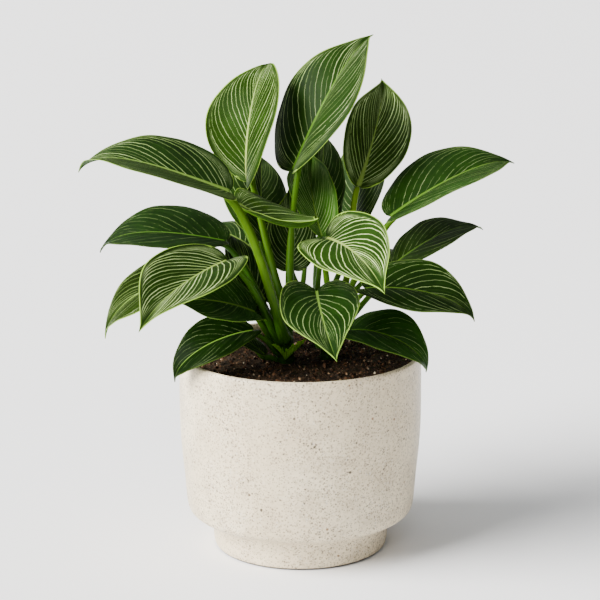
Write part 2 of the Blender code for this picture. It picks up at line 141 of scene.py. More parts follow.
# Roots of the boldest and of the medium side veins, left half then right half.
BOLD = {
    "01": ((0.71, 0.60, 0.53, 0.40, 0.34), (0.71, 0.605, 0.53, 0.405, 0.34)),
    "02": ((0.74, 0.665, 0.535, 0.33), (0.70, 0.60, 0.47, 0.38)),
    "03": ((0.74, 0.69, 0.46, 0.36, 0.325), (0.70, 0.60, 0.50, 0.40)),
    "04": ((0.63, 0.50, 0.39), (0.605, 0.46, 0.355)),
    "05": ((0.63, 0.485, 0.40), (0.65, 0.52, 0.40)),
    "06": ((0.65, 0.515, 0.41), (0.60, 0.45)),
    "07": ((0.62, 0.555, 0.455), (0.585, 0.49, 0.43)),
    "08": ((0.54, 0.435), (0.58, 0.45)),
    "09": ((0.72, 0.62, 0.535, 0.47, 0.40, 0.345, 0.25), (0.61, 0.50, 0.425, 0.35, 0.28)),
    "10": ((0.59, 0.485, 0.39), (0.635, 0.47, 0.395)),
    "12": ((0.60, 0.42), (0.50, 0.405)),
    "13": ((0.70, 0.625, 0.545, 0.45, 0.375), (0.62, 0.49, 0.40, 0.345, 0.28)),
    "14": ((0.66, 0.50, 0.38), (0.66, 0.54, 0.42, 0.33)),
    "15": ((0.56, 0.48), (0.49, 0.42, 0.33)),
    "16": ((0.50, 0.39), (0.52, 0.41)),
    "18": ((0.71, 0.61, 0.49), (0.63, 0.50)),
}
USUAL = ((0.70, 0.60, 0.49, 0.40, 0.33), (0.68, 0.58, 0.47, 0.39, 0.32))

# Look of each leaf: stripe strength, stripe half width (mm), how broken the
# stripes are, paleness of the green between them, brightness of the green,
# warmth of the green, width of the midrib band at the base (mm), paleness of
# the midrib, strength of the pale margin. The brightness is partly painted fill light: leaves lying in shade get a
# brighter green, and on 04 and 18 a raised paleness also lifts the stripes in their shade.
LOOKS = {
    "01": (0.95, 0.18, 0.30, 0.08, 0.85, 0.15, 5.0, 0.35, 0.70),
    "02": (1.00, 0.18, 0.20, 0.08, 1.20, 0.35, 7.4, 0.90, 0.90),
    "03": (0.98, 0.18, 0.30, 0.02, 0.88, 0.20, 6.6, 0.10, 0.70),
    "04": (1.25, 0.26, 0.22, 0.80, 1.50, 0.50, 6.2, 0.60, 0.80),
    "05": (0.80, 0.14, 0.55, 0.08, 1.25, 0.10, 4.4, 0.15, 0.35),
    "06": (0.60, 0.18, 0.60, 0.10, 1.25, 0.45, 3.0, 0.20, 0.20),
    "07": (0.78, 0.17, 0.60, 0.25, 0.95, 0.15, 2.6, 0.20, 0.40),
    "08": (0.55, 0.15, 0.75, 0.00, 1.45, 0.00, 2.2, 0.10, 0.25),
    "09": (1.15, 0.23, 0.12, 0.55, 1.10, 0.25, 3.0, 0.80, 0.95),
    "10": (0.95, 0.145, 0.50, 0.10, 0.85, 0.05, 2.2, 0.30, 0.70),
    "11": (0.60, 0.22, 0.35, 0.65, 1.60, 0.50, 4.0, 0.50, 0.80),
    "12": (0.55, 0.11, 0.80, 0.02, 0.72, 0.05, 2.0, 0.05, 0.10),
    "13": (1.10, 0.27, 0.18, 0.20, 0.92, 0.35, 2.8, 0.60, 0.90),
    "14": (0.60, 0.16, 0.40, 0.02, 0.80, 0.60, 3.0, 0.40, 0.80),
    "15": (0.65, 0.17, 0.60, 0.05, 2.2, 0.05, 2.2, 0.30, 0.40),
    "16": (0.32, 0.11, 0.80, 0.00, 0.30, 0.00, 2.2, 0.20, 0.10),
    "17": (0.80, 0.20, 0.40, 0.15, 1.5, 0.30, 3.0, 0.40, 0.40),
    "18": (1.00, 0.22, 0.25, 0.70, 4.5, 0.20, 3.0, 0.30, 0.40),
    "19": (0.70, 0.19, 0.45, 0.10, 1.40, 0.20, 2.8, 0.30, 0.30),
    "20": (0.70, 0.19, 0.45, 0.10, 1.5, 0.20, 2.8, 0.30, 0.30),
    "21": (0.70, 0.19, 0.45, 0.10, 1.00, 0.20, 2.6, 0.30, 0.30),
    "22": (0.70, 0.19, 0.45, 0.10, 1.00, 0.20, 2.4, 0.30, 0.30),
    "23": (0.60, 0.17, 0.50, 0.10, 0.90, 0.20, 2.0, 0.30, 0.30),
    "24": (0.85, 0.20, 0.35, 0.15, 1.00, 0.20, 3.0, 0.40, 0.40),
    "25": (0.90, 0.22, 0.30, 0.20, 0.95, 0.20, 3.0, 0.50, 0.60),
    "26": (0.75, 0.19, 0.40, 0.10, 1.00, 0.20, 2.8, 0.30, 0.30),
}

# Where a petiole narrows beside another blade: position along it and share.
PETIOLE_WAIST = {"03": (0.66, 0.34)}

# Leaves that shine less than the rest.
GLOSS = {"02": 0.010, "03": 0.030, "14": 0.008, "16": 0.012, "09": 0.030}

# Petioles: radius at the stem and at the blade in mm.
PETIOLE_RADII = {
    "01": (4.3, 2.8), "02": (3.3, 2.4), "03": (3.8, 2.1), "04": (3.0, 2.2), "05": (2.9, 2.1), "09": (2.8, 1.9),
    "11": (2.8, 2.0), "12": (3.3, 1.9), "13": (3.2, 1.8), "10": (2.6, 1.8), "15": (3.2, 1.8), "16": (2.6, 1.6),
}


PETIOLE_FOLLOW_LESS = {"01": 0.42, "03": 0.30, "11": -0.10}
PETIOLE_SWAY = {"01": (-0.16, -0.10), "02": (-0.50, 0.0), "03": (-0.33, 1.32), "11": (0.50, 0.0)}


# ------------------------------------------------------------- blade geometry
def unit(v):
    return v / np.linalg.norm(v)


def smooth(x, low, high):
    x = np.clip((x - low) / (high - low), 0, 1)
    return x * x * (3 - 2 * x)


def bezier(p0, p1, p2, p3, t):
    t = np.asarray(t)[:, None]
    p0, p1, p2, p3 = (np.array(p, float) for p in (p0, p1, p2, p3))
    return (1 - t) ** 3 * p0 + 3 * (1 - t) ** 2 * t * p1 + 3 * (1 - t) * t * t * p2 + t**3 * p3


def half_outline(kind, half_width):
    lobe, offset, widest, tip, tip_w = OUTLINES[kind]
    w = half_width
    a = bezier((0, 0), (-0.55 * lobe, 0.167 * offset), (-lobe, 0.5 * offset), (-lobe, offset), np.linspace(0, 1, 25))
    b = bezier((-lobe, offset), (-lobe, offset + 0.55 * (w - offset)),
               (widest - 0.55 * (widest + lobe), w), (widest, w), np.linspace(0, 1, 61))
    c = bezier((widest, w), (widest + 0.45 * (1 - widest), w), (1 - tip, tip_w), (1, 0), np.linspace(0, 1, 121))
    return np.concatenate([a, b[1:], c[1:]])


def spine(leaf):
    base, heading, rise, roll, length = leaf[4:9]
    droop, hook, sweep, twist = leaf[10:14]
    az, el, ro = map(math.radians, (heading, rise, roll))
    t = np.array([math.cos(el) * math.cos(az), math.cos(el) * math.sin(az), math.sin(el)])
    n = np.array([-math.sin(el) * math.cos(az), -math.sin(el) * math.sin(az), math.cos(el)])
    n = n * math.cos(ro) + np.cross(n, t) * math.sin(ro)
    b = np.cross(n, t)
    points, frames = [np.array(base) / 1000], [(t, b, n)]
    bend = lambda u: math.radians(droop * u + hook * u**4)
    for i in range(SPINE_STEPS):
        u0, u1 = i / SPINE_STEPS, (i + 1) / SPINE_STEPS
        d, s, w = bend(u1) - bend(u0), math.radians(sweep) / SPINE_STEPS, math.radians(twist) / SPINE_STEPS
        t1, n1 = t * math.cos(d) - n * math.sin(d), n * math.cos(d) + t * math.sin(d)
        t2, b2 = t1 * math.cos(s) + b * math.sin(s), b * math.cos(s) - t1 * math.sin(s)
        step = (t + t2) / np.linalg.norm(t + t2)
        points.append(points[-1] + step * length / 1000 / SPINE_STEPS)
        t, n, b = t2, n1 * math.cos(w) + b2 * math.sin(w), b2 * math.cos(w) - n1 * math.sin(w)
        frames.append((t, b, n))
    return np.array(points), np.array(frames)


def place(leaf, line, along, across, side):
    points, frames = line
    length, half_width = leaf[8] / 1000, leaf[9]
    fold, curl = (leaf[14], leaf[16]) if side > 0 else (leaf[15], leaf[17])
    fold, k = math.radians(fold), math.radians(curl) / half_width
    u = np.clip(along, 0, 1) * SPINE_STEPS
    i = np.minimum(u.astype(int), SPINE_STEPS - 1)
    f = (u - i)[:, None]
    at = points[i] * (1 - f) + points[i + 1] * f
    t, b, n = ((frames[i, j] * (1 - f) + frames[i + 1, j] * f) for j in range(3))
    at = at + np.minimum(along, 0)[:, None] * length * t
    if abs(k) < 1e-3:
        out, up = across * math.cos(fold), across * math.sin(fold)
    else:
        out = (math.sin(fold) - np.sin(fold - k * across)) / k
        up = (np.cos(fold - k * across) - math.cos(fold)) / k
    tilt = fold - k * across
    normal = n * np.cos(tilt)[:, None] - side * b * np.sin(tilt)[:, None]
    normal /= np.linalg.norm(normal, axis=1)[:, None]
    return at + length * (side * out[:, None] * b + up[:, None] * n), normal


def vein_roots(kind, stations, share):
    """The midrib station from which the side vein through each grid point grows.
    stations runs along the margin, share from the midrib (0) to the margin (1)."""
    roots = np.linspace(-0.5, 1.0, 1500)
    lean = np.interp(roots, VEIN_ROOTS, VEIN_LEAN[kind])
    turn = np.interp(roots, *VEIN_TURN)
    found = np.empty((len(stations), len(share)))
    for j, f in enumerate(share):
        f = min(f, 0.985)
        at = roots + lean * f - turn * math.log(1 - f**4)
        at = np.maximum.accumulate(at + 1e-7 * np.arange(len(at)))
        found[:, j] = np.interp(stations, at, roots)
    return found


def stripes(key, side, rng):
    """Roots and strengths of all side veins of one half, tip to base reversed."""
    bold = sorted(BOLD.get(key, USUAL)[0 if side > 0 else 1])
    roots, strength = [], []
    marks = [-0.42] + [b - 0.062 * k for b in bold[:1] for k in (5, 4, 3, 2, 1)] + bold
    marks = sorted(set(m for m in marks if m > -0.42)) + [0.80, 0.88, 0.95, 1.05]
    last = -0.42
    for m in marks:
        gap = m - last
        n = max(1, int(round(gap / (0.028 + 0.030 * LOOKS[key][2]))))
        for k in range(1, n):
            roots.append(last + gap * (k + rng.uniform(-0.12, 0.12)) / n)
            strength.append(rng.choice([0.30, 0.42, 0.55, 0.75]) if k * 2 != n else 0.75)
        roots.append(m)
        strength.append(1.0 if m in bold else rng.uniform(0.4, 0.85))
        last = m
    roots = np.array(roots)
    keep = np.concatenate([[True], np.diff(roots) > 0.008])
    return roots[keep], np.array(strength)[keep]


def lateral_stations():
    """Rows from the midrib to the margin, close together over the midrib."""
    near = [0, 0.012, 0.026, 0.043, 0.064, 0.09]
    return np.array(near + list(np.linspace(0.125, 0.97, 17)) + [1.0])


def blade_mesh(name, key, leaf):
    rng = np.random.default_rng(int(key) * 7 + 3)
    line = spine(leaf)
    length, half_width, kind = leaf[8] / 1000, leaf[9], leaf[3]
    edge = half_outline(kind, half_width)
    run = np.concatenate([[0], np.cumsum(np.linalg.norm(np.diff(edge, axis=0), axis=1))])
    stations = np.concatenate([np.linspace(0.03, FAN, 27)[:-1], np.linspace(FAN, 1, COLUMNS - 26)])
    rows = lateral_stations()
    ns, nr = len(stations), len(rows)
    s, f = stations[:, None] * np.ones(nr), np.ones((ns, 1)) * rows
    mid = np.clip((s - FAN) / (1 - FAN), 0, 1) ** 1.25
    ex, ey = (np.interp(s * run[-1], run, edge[:, k]) for k in range(2))
    bow = smooth(s, 0.1, 0.3)
    x = mid * (1 - f) + ex * f + 0.10 * f * (f - 1) * (1 - s) * bow
    y = ey * f
    half_here = np.interp(np.clip(x, edge[:, 0].min(), 1), *outline_width(edge))

    verts, corner = [], {k: [] for k in ("vein", "spot", "rim")}
    flats = []
    ids = {}
    samples = {}
    wave = rng.uniform(0, 6.28, 6)
    for side in (1, -1):
        roots, strength = stripes(key, side, rng)
        q = vein_roots(kind, stations, rows)
        phase = np.interp(q, roots, np.arange(len(roots), dtype=float))
        # distance between side veins in mm, from the phase's gradient on the flat blade
        ds = np.gradient(stations)[:, None]
        dr = np.gradient(rows)[None, :]
        xs, ys, ps = (np.gradient(a, axis=0) / ds for a in (x, y, phase))
        xr, yr, pr = (np.gradient(a, axis=1) / dr for a in (x, y, phase))
        det = xs * yr - xr * ys
        det = np.where(np.abs(det) < 1e-5, 1e-5, det)
        gx, gy = (ps * yr - pr * ys) / det, (pr * xs - ps * xr) / det
        pitch = length * 1000 / np.maximum(np.hypot(gx, gy), 1.0)
        amount = strength[np.clip(np.round(phase).astype(int), 0, len(strength) - 1)]
        from_rim = (1 - f) * np.maximum(half_here, 0.02) * length * 1000
        from_rim = np.where(f == 1, 0, from_rim)
        samples[side] = dict(
            phase=phase + (100 if side < 0 else 0), pitch=pitch, amount=amount, q=q,
            rib=y * length * 1000, u=np.clip(x, -0.2, 1), r=np.hypot(x, y) * length * 1000, rim=from_rim)
    return dict(line=line, x=x, y=y, f=f, s=s, samples=samples, ns=ns, nr=nr, wave=wave,
                length=length, half_width=half_width, rng=rng, stations=stations, rows=rows)


def outline_width(edge):
    order = np.argsort(edge[:, 0])
    return edge[order, 0], edge[order, 1]


def quilt(grid, side):
    """Height of the upper skin's relief along its normal, in metres: shallow
    valleys along the side veins, a gently waved margin."""
    d = grid["samples"][side]
    soft = smooth(d["pitch"], 1.2, 3.0) * smooth(grid["f"], 0.0, 0.15) * (1 - smooth(grid["f"], 0.85, 1.0))
    ridge = 0.00009 * np.cos(2 * np.pi * d["phase"]) * soft * (0.5 + 0.5 * d["amount"])
    a, b, c = grid["wave"][:3] if side > 0 else grid["wave"][3:]
    s, f = grid["s"], grid["f"]
    wave = (0.0007 * np.sin(9 * s + a) + 0.0004 * np.sin(17 * s + b) + 0.0002 * np.sin(31 * s + c)) * f**3 * smooth(s, 0.05, 0.3) * (1 - smooth(s, 0.85, 1.0))
    return ridge, wave


def midrib(grid, side, width):
    """Heights of the midrib above the upper skin and below the lower one."""
    d = grid["samples"][side]
    u = np.clip(d["u"], 0, 1)
    ahead = smooth(d["u"] * grid["length"] * 1000, -1.5, 2.0)
    top_w = (width * 0.5) * (1 - u) ** 1.2 + 0.30
    low_w = (width * 0.55) * (1 - u) ** 1.2 + 0.40
    top = 0.00030 * (1 - u) ** 0.5 * np.clip(1 - (d["rib"] / top_w) ** 2, 0, 1)
    low = 0.00165 * (1 - u) ** 0.8 * np.clip(1 - (d["rib"] / low_w) ** 2, 0, 1) ** 0.7
    return top * ahead, low * ahead


def build_blade(key, leaf):
    name = "leaf_%s_blade_fine" % key
    grid = blade_mesh(name, key, leaf)
    ns, nr = grid["ns"], grid["nr"]
    look = LOOKS[key]
    x, y = grid["x"].ravel(), grid["y"].ravel()
    verts, count = [], 0
    index = {}
    data = []
    for face in (1, -1):
        rib_ids = None
        for side in (1, -1):
            at, normal = place(leaf, grid["line"], x, y, side)
            if side == 1:
                at_l, normal_l = at, normal
                other_normal = place(leaf, grid["line"], x, y, -1)[1]
            rib_normal = normal + (other_normal if side == 1 else normal_l)
            rib_normal /= np.linalg.norm(rib_normal, axis=1)[:, None]
            blend = (1 - smooth(grid["samples"][side]["rib"], 0.2, 1.6)).ravel()[:, None]
            normal = normal * (1 - blend) + rib_normal * blend
            normal /= np.linalg.norm(normal, axis=1)[:, None]
            ridge, wave = quilt(grid, side)
            top, low = midrib(grid, side, 0.62 * look[6])
            thin = BLADE_HALF_THICKNESS * (1 - 0.55 * smooth(grid["f"], 0.8, 1.0))
            height = wave + ridge + (thin + top if face > 0 else -thin - low)
            points = (at + normal * height.ravel()[:, None]).reshape(ns, nr, 3)
            ids = np.empty((ns, nr), int)
            for j in range(nr):
                if j == 0 and side == -1:
                    ids[:, 0] = rib_ids
                    continue
                if j == 0:
                    column = []
                    for i in range(ns):
                        if i and grid["stations"][i] <= FAN + 1e-9:
                            column.append(column[0])
                        else:
                            verts.append(points[i, 0])
                            column.append(count)
                            count += 1
                    ids[:, 0] = column
                    rib_ids = ids[:, 0].copy()
                else:
                    verts.extend(points[:-1, j])
                    ids[:-1, j] = np.arange(count, count + ns - 1)
                    count += ns - 1
                    ids[-1, j] = ids[-1, 0]
            index[face, side] = ids
            d = grid["samples"][side]
            flat_x = grid["x"] * grid["length"]
            flat_y = side * grid["y"] * grid["length"]
            data.append(((face, side), d, flat_x, flat_y))
    lookup = {k: (d, fx, fy) for k, d, fx, fy in data}
    faces, corners = [], []

    def record(face, side, i, j):
        corners.append((face, side, i, j))

    for face in (1, -1):
        for side in (1, -1):
            ids = index[face, side]
            for j in range(nr - 1):
                for i in range(ns - 1):
                    cells = [(i, j), (i, j + 1), (i + 1, j + 1), (i + 1, j)]
                    if side * face > 0:
                        cells.reverse()
                    seen, loop, kept = set(), [], []
                    for c in cells:
                        v = int(ids[c])
                        if v not in seen:
                            seen.add(v)
                            loop.append(v)
                            kept.append(c)
                    if len(loop) > 2:
                        faces.append(loop)
                        for c in kept:
                            record(face, side, *c)
    for side in (1, -1):
        path = [(0, j) for j in range(nr)] + [(i, nr - 1) for i in range(1, ns)]
        upper, lower = index[1, side], index[-1, side]
        for p, q in zip(path, path[1:]):
            quad = [(1, p), (1, q), (-1, q), (-1, p)]
            if side < 0:
                quad.reverse()
            loop = [int((upper if face > 0 else lower)[c]) for face, c in quad]
            if len(set(loop)) < 3:
                continue
            faces.append(loop)
            for face, c in quad:
                record(1, side, *c)
    mesh = bpy.data.meshes.new(name)
    mesh.from_pydata([tuple(v) for v in verts], [], faces)
    mesh.update()
    n = len(corners)
    vein, spot, rim, flat = np.empty((n, 3)), np.empty((n, 3)), np.empty((n, 3)), np.empty((n, 2))
    ca = np.array(corners)
    for (face, side), (d, fx, fy) in lookup.items():
        pick = (ca[:, 0] == face) & (ca[:, 1] == side)
        i, j = ca[pick, 2], ca[pick, 3]
        vein[pick] = np.stack([d["phase"][i, j], d["pitch"][i, j], d["amount"][i, j]], 1)
        spot[pick] = np.stack([d["rib"][i, j], d["u"][i, j], d["r"][i, j]], 1)
        rim[pick] = np.stack([d["rim"][i, j], np.full(len(i), 0.0 if face > 0 else 1.0), grid["f"][i, j]], 1)
        flat[pick] = np.stack([fx[i, j], fy[i, j]], 1)
    for label, values in (("vein", vein), ("spot", spot), ("rim", rim)):
        layer = mesh.attributes.new(label, "FLOAT_VECTOR", "CORNER")
        layer.data.foreach_set("vector", values.astype(np.float32).ravel())
    layer = mesh.uv_layers.new(name="flat")
    layer.uv.foreach_set("vector", flat.astype(np.float32).ravel())
    obj = bpy.data.objects.new(name, mesh)
    bpy.context.scene.collection.objects.link(obj)
    mesh.shade_smooth()
    return obj


# ------------------------------------------------------------------- materials
class Nodes:
    """Short names for building a node tree."""

    def __init__(self, name):
        self.mat = bpy.data.materials.new(name)
        self.mat.use_nodes = True
        self.tree = self.mat.node_tree
        self.shader = self.tree.nodes["Principled BSDF"]

    def new(self, kind, **settings):
        node = self.tree.nodes.new(kind)
        for k, v in settings.items():
            setattr(node, k, v)
        return node

    def link(self, value, socket):
        if isinstance(value, bpy.types.NodeSocket):
            self.tree.links.new(value, socket)
        elif value is not None:
            socket.default_value = value

    def math(self, op, a, b=None, c=None, clamp=False):
        node = self.new("ShaderNodeMath", operation=op, use_clamp=clamp)
        for value, socket in zip((a, b, c), node.inputs):
            self.link(value, socket)
        return node.outputs[0]

    def step(self, x, low, high):
        """0 at low, 1 at high, smooth between; high may be below low."""
        node = self.new("ShaderNodeMapRange", interpolation_type="SMOOTHSTEP", clamp=True)
        flip = not isinstance(low, bpy.types.NodeSocket) and not isinstance(high, bpy.types.NodeSocket) and low > high
        self.link(x, node.inputs["Value"])
        self.link(high if flip else low, node.inputs["From Min"])
        self.link(low if flip else high, node.inputs["From Max"])
        node.inputs["To Min"].default_value = 1.0 if flip else 0.0
        node.inputs["To Max"].default_value = 0.0 if flip else 1.0
        return node.outputs["Result"]

    def range(self, x, a, b, c, d):
        node = self.new("ShaderNodeMapRange", clamp=True)
        for v, k in ((x, "Value"), (a, "From Min"), (b, "From Max"), (c, "To Min"), (d, "To Max")):
            self.link(v, node.inputs[k])
        return node.outputs["Result"]

    def mix(self, factor, a, b, blend="MIX"):
        node = self.new("ShaderNodeMix", data_type="RGBA", blend_type=blend, clamp_factor=True)
        self.link(factor, node.inputs["Factor"])
        for value, key in ((a, "A"), (b, "B")):
            socket = [s for s in node.inputs if s.name == key and s.type == "RGBA"][0]
            self.link((*value, 1) if isinstance(value, tuple) and len(value) == 3 else value, socket)
        return [s for s in node.outputs if s.type == "RGBA"][0]

    def noise(self, vector, scale, detail=2.0, rough=0.5, kind="3D", w=None, out="Fac"):
        node = self.new("ShaderNodeTexNoise", noise_dimensions=kind)
        if vector is not None:
            self.link(vector, node.inputs["Vector"])
        node.inputs["Scale"].default_value = scale
        node.inputs["Detail"].default_value = detail
        node.inputs["Roughness"].default_value = rough
        if w is not None:
            self.link(w, node.inputs["W"])
        return node.outputs[out]

    def vector(self, x, y, z):
        node = self.new("ShaderNodeCombineXYZ")
        for value, socket in zip((x, y, z), node.inputs):
            self.link(value, socket)
        return node.outputs[0]

    def split(self, vector):
        node = self.new("ShaderNodeSeparateXYZ")
        self.link(vector, node.inputs[0])
        return node.outputs[0], node.outputs[1], node.outputs[2]

    def attribute(self, name):
        return self.new("ShaderNodeAttribute", attribute_name=name).outputs["Vector"]

    def bump(self, height, strength, distance, normal=None):
        node = self.new("ShaderNodeBump")
        node.inputs["Strength"].default_value = strength
        node.inputs["Distance"].default_value = distance
        self.link(height, node.inputs["Height"])
        self.link(normal, node.inputs["Normal"])
        return node.outputs[0]

    def set(self, **values):
        for k, v in values.items():
            self.link(v, self.shader.inputs[k.replace("_", " ")])


def leaf_material(key):
    strength, width, broken, pale, brightness_and_painted_fill, warm, band, rib_pale, margin = LOOKS[key]
    n = Nodes("leaf_%s_blade" % key)
    seed = int(key) * 3.17
    tone = 0.75 + 0.5 * pale
    phase, pitch, amount = n.split(n.attribute("vein"))
    rib, along, radius = n.split(n.attribute("spot"))
    rim, under, share = n.split(n.attribute("rim"))
    flat = n.new("ShaderNodeUVMap", uv_map="flat").outputs[0]

    # distance to the nearest side vein in mm, a little ragged
    off = n.math("SUBTRACT", n.math("FRACT", n.math("ADD", phase, 0.5)), 0.5)
    ragged = n.math("SUBTRACT", n.noise(flat, 1300.0, 2.0, 0.6, "4D", seed), 0.5)
    drift = n.math("SUBTRACT", n.noise(flat, 260.0, 1.0, 0.5, "4D", seed + 5), 0.5)
    wander = n.math("SUBTRACT", n.noise(flat, 120.0, 2.0, 0.6, "4D", seed + 8), 0.5)
    wander = n.math("MULTIPLY", wander, n.range(pitch, 0.8, 3.0, 0.2, 2.0))
    away = n.math("ABSOLUTE", n.math("ADD", n.math("MULTIPLY", off, pitch), wander))
    near = n.math("ADD", away, n.math("ADD", n.math("MULTIPLY", ragged, 0.9 * width), n.math("MULTIPLY", drift, 0.7 * width)))
    wide = n.math("MULTIPLY", n.range(amount, 0.2, 1.0, 0.60, 1.20), width)
    core = n.math("SUBTRACT", 1.0, n.step(near, n.math("MULTIPLY", wide, 0.55), n.math("MULTIPLY", wide, 1.20)))
    # breaks along the fainter veins
    number = n.math("ROUND", phase)
    run = n.vector(n.math("MULTIPLY", number, 7.3), n.math("MULTIPLY", rib, 0.16), n.math("MULTIPLY", along, 3.0))
    dash = n.noise(run, 1.9, 2.0, 0.7, "4D", seed + 11)
    limit = n.math("SUBTRACT", 0.34 + 0.30 * broken, n.math("MULTIPLY", amount, 0.11))
    dash = n.step(dash, n.math("SUBTRACT", limit, 0.04), n.math("ADD", limit, 0.05))
    fade = n.math("MULTIPLY", n.step(pitch, 0.5, 1.5), n.step(radius, 1.5, 6.0))
    power = n.math("MULTIPLY", n.range(amount, 0.2, 1.0, 0.28, 1.0), strength)
    swell = n.noise(n.vector(n.math("MULTIPLY", number, 3.7), n.math("MULTIPLY", rib, 0.10), seed + 17.0), 1.3, 1.0, 0.5)
    power = n.math("MULTIPLY", power, n.range(swell, 0.35, 0.65, 0.55, 1.15))
    line = n.math("MULTIPLY", n.math("MULTIPLY", core, dash), n.math("MULTIPLY", fade, power), clamp=True)
    # thin threads beside the bold ones, and a pale halo
    thread = n.noise(n.vector(n.math("MULTIPLY", phase, 7.0), n.math("MULTIPLY", rib, 0.05), seed), 2.2, 2.0, 0.6)
    beside = n.math("MULTIPLY", n.step(away, 1.1, 0.15), n.math("MULTIPLY", fade, power))
    thread = n.math("MULTIPLY", n.step(thread, 0.53, 0.66), beside, clamp=True)
    fibre = n.noise(n.vector(n.math("MULTIPLY", phase, 4.0), n.math("MULTIPLY", rib, 0.03), seed + 3.0), 2.0, 3.0, 0.6)

    # green of the upper face
    cloud = n.noise(flat, 38.0, 3.0, 0.55, "4D", seed + 23)
    grain = n.noise(flat, 1400.0, 2.0, 0.5, "4D", seed + 31)
    # The leaf's brightness scales its green; leaves lying in shade get a raised value, a painted fill light.
    dark = ((0.0026 + 0.0040 * warm) * brightness_and_painted_fill, 0.0110 * brightness_and_painted_fill, 0.0009 * brightness_and_painted_fill)
    mid = ((0.0070 + 0.0085 * warm) * brightness_and_painted_fill, (0.0255 + 0.004 * warm) * brightness_and_painted_fill, 0.0021 * brightness_and_painted_fill)
    green = n.mix(n.step(cloud, 0.32, 0.70), dark, mid)
    green = n.mix(n.math("MULTIPLY", n.step(grain, 0.35, 0.75), 0.25), green, mid)
    green = n.mix(n.math("MULTIPLY", n.step(fibre, 0.45, 0.70), 0.45), green, (mid[0] * 1.4, mid[1] * 1.4, mid[2] * 1.4))
    green = n.mix(n.math("MULTIPLY", beside, 0.10 + 0.25 * pale, clamp=True), green, (0.040 + 0.03 * warm, 0.105 + 0.02 * warm, 0.009))
    green = n.mix(n.math("MULTIPLY", thread, 0.20 + 0.30 * pale), green, (0.11, 0.19, 0.038))
    cream = n.mix(n.step(cloud, 0.35, 0.65), (0.30 * tone, 0.43 * tone, 0.135 * tone), (0.42 * tone, 0.52 * tone, 0.24 * tone))
    top = n.mix(line, green, cream)
    # midrib band
    reach = n.math("SUBTRACT", 1.0, n.math("MINIMUM", n.math("MAXIMUM", along, 0.0), 1.0))
    band_w = n.math("ADD", n.math("MULTIPLY", n.math("POWER", reach, 1.9), band * 0.5), 0.24)
    ahead = n.step(along, -0.015, 0.01)
    rib_near = n.math("ADD", rib, n.math("MULTIPLY", ragged, 0.35))
    rib_mask = n.math("MULTIPLY", n.math("SUBTRACT", 1.0, n.step(rib_near, n.math("MULTIPLY", band_w, 0.70), n.math("MULTIPLY", band_w, 1.10))), ahead)
    rib_mask = n.math("MULTIPLY", rib_mask, n.step(reach, 0.02, 0.30))
    low_rib = (0.050 + 0.24 * rib_pale, 0.155 + 0.20 * rib_pale, 0.006 + 0.080 * rib_pale)
    high_rib = (0.065 + 0.12 * rib_pale, 0.135 + 0.13 * rib_pale, 0.015 + 0.05 * rib_pale)
    rib_green = n.mix(n.step(along, 0.0, 0.75), low_rib, high_rib)
    rib_green = n.mix(n.math("MULTIPLY", n.step(rib, 0.0, 0.9), 0.25), rib_green, (0.035, 0.095, 0.004))
    top = n.mix(rib_mask, top, rib_green)
    # thin yellow-green margin
    edge = n.math("MULTIPLY", n.step(n.math("ADD", rim, n.math("MULTIPLY", ragged, 0.3)), 0.80, 0.25), margin)
    top = n.mix(edge, top, (0.22, 0.36, 0.050))

    # paler, matter lower face with a strong midrib and faint veins
    below = n.mix(n.step(cloud, 0.3, 0.7), (0.016, 0.050, 0.003), (0.028, 0.078, 0.006))
    below = n.mix(n.math("MULTIPLY", n.step(fibre, 0.45, 0.70), 0.5), below, (0.045, 0.105, 0.011))
    below = n.mix(n.math("MULTIPLY", line, 0.45), below, (0.12, 0.19, 0.045))
    below = n.mix(n.math("MULTIPLY", rib_mask, 0.9), below, (0.075, 0.165, 0.010))
    below = n.mix(edge, below, (0.16, 0.28, 0.030))
    colour = n.mix(under, top, below)

    skin = n.noise(flat, 2600.0, 2.0, 0.6, "4D", seed + 41)
    height = n.math("ADD", n.math("MULTIPLY", line, 0.6), n.math("MULTIPLY", skin, 0.30))
    height = n.math("ADD", height, n.math("MULTIPLY", fibre, 1.2))
    rough = n.math("ADD", n.range(fibre, 0.35, 0.65, 0.46, 0.26), n.math("MULTIPLY", under, 0.16))
    rough = n.math("ADD", rough, n.math("MULTIPLY", skin, 0.06))
    n.set(Base_Color=colour, Roughness=rough, Specular_IOR_Level=GLOSS.get(key, 0.045),
          Subsurface_Weight=0.08, Subsurface_Scale=0.0014, Normal=n.bump(height, 0.5, 0.00012))
    n.shader.inputs["Subsurface Radius"].default_value = (0.5, 1.0, 0.2)
    return n.mat


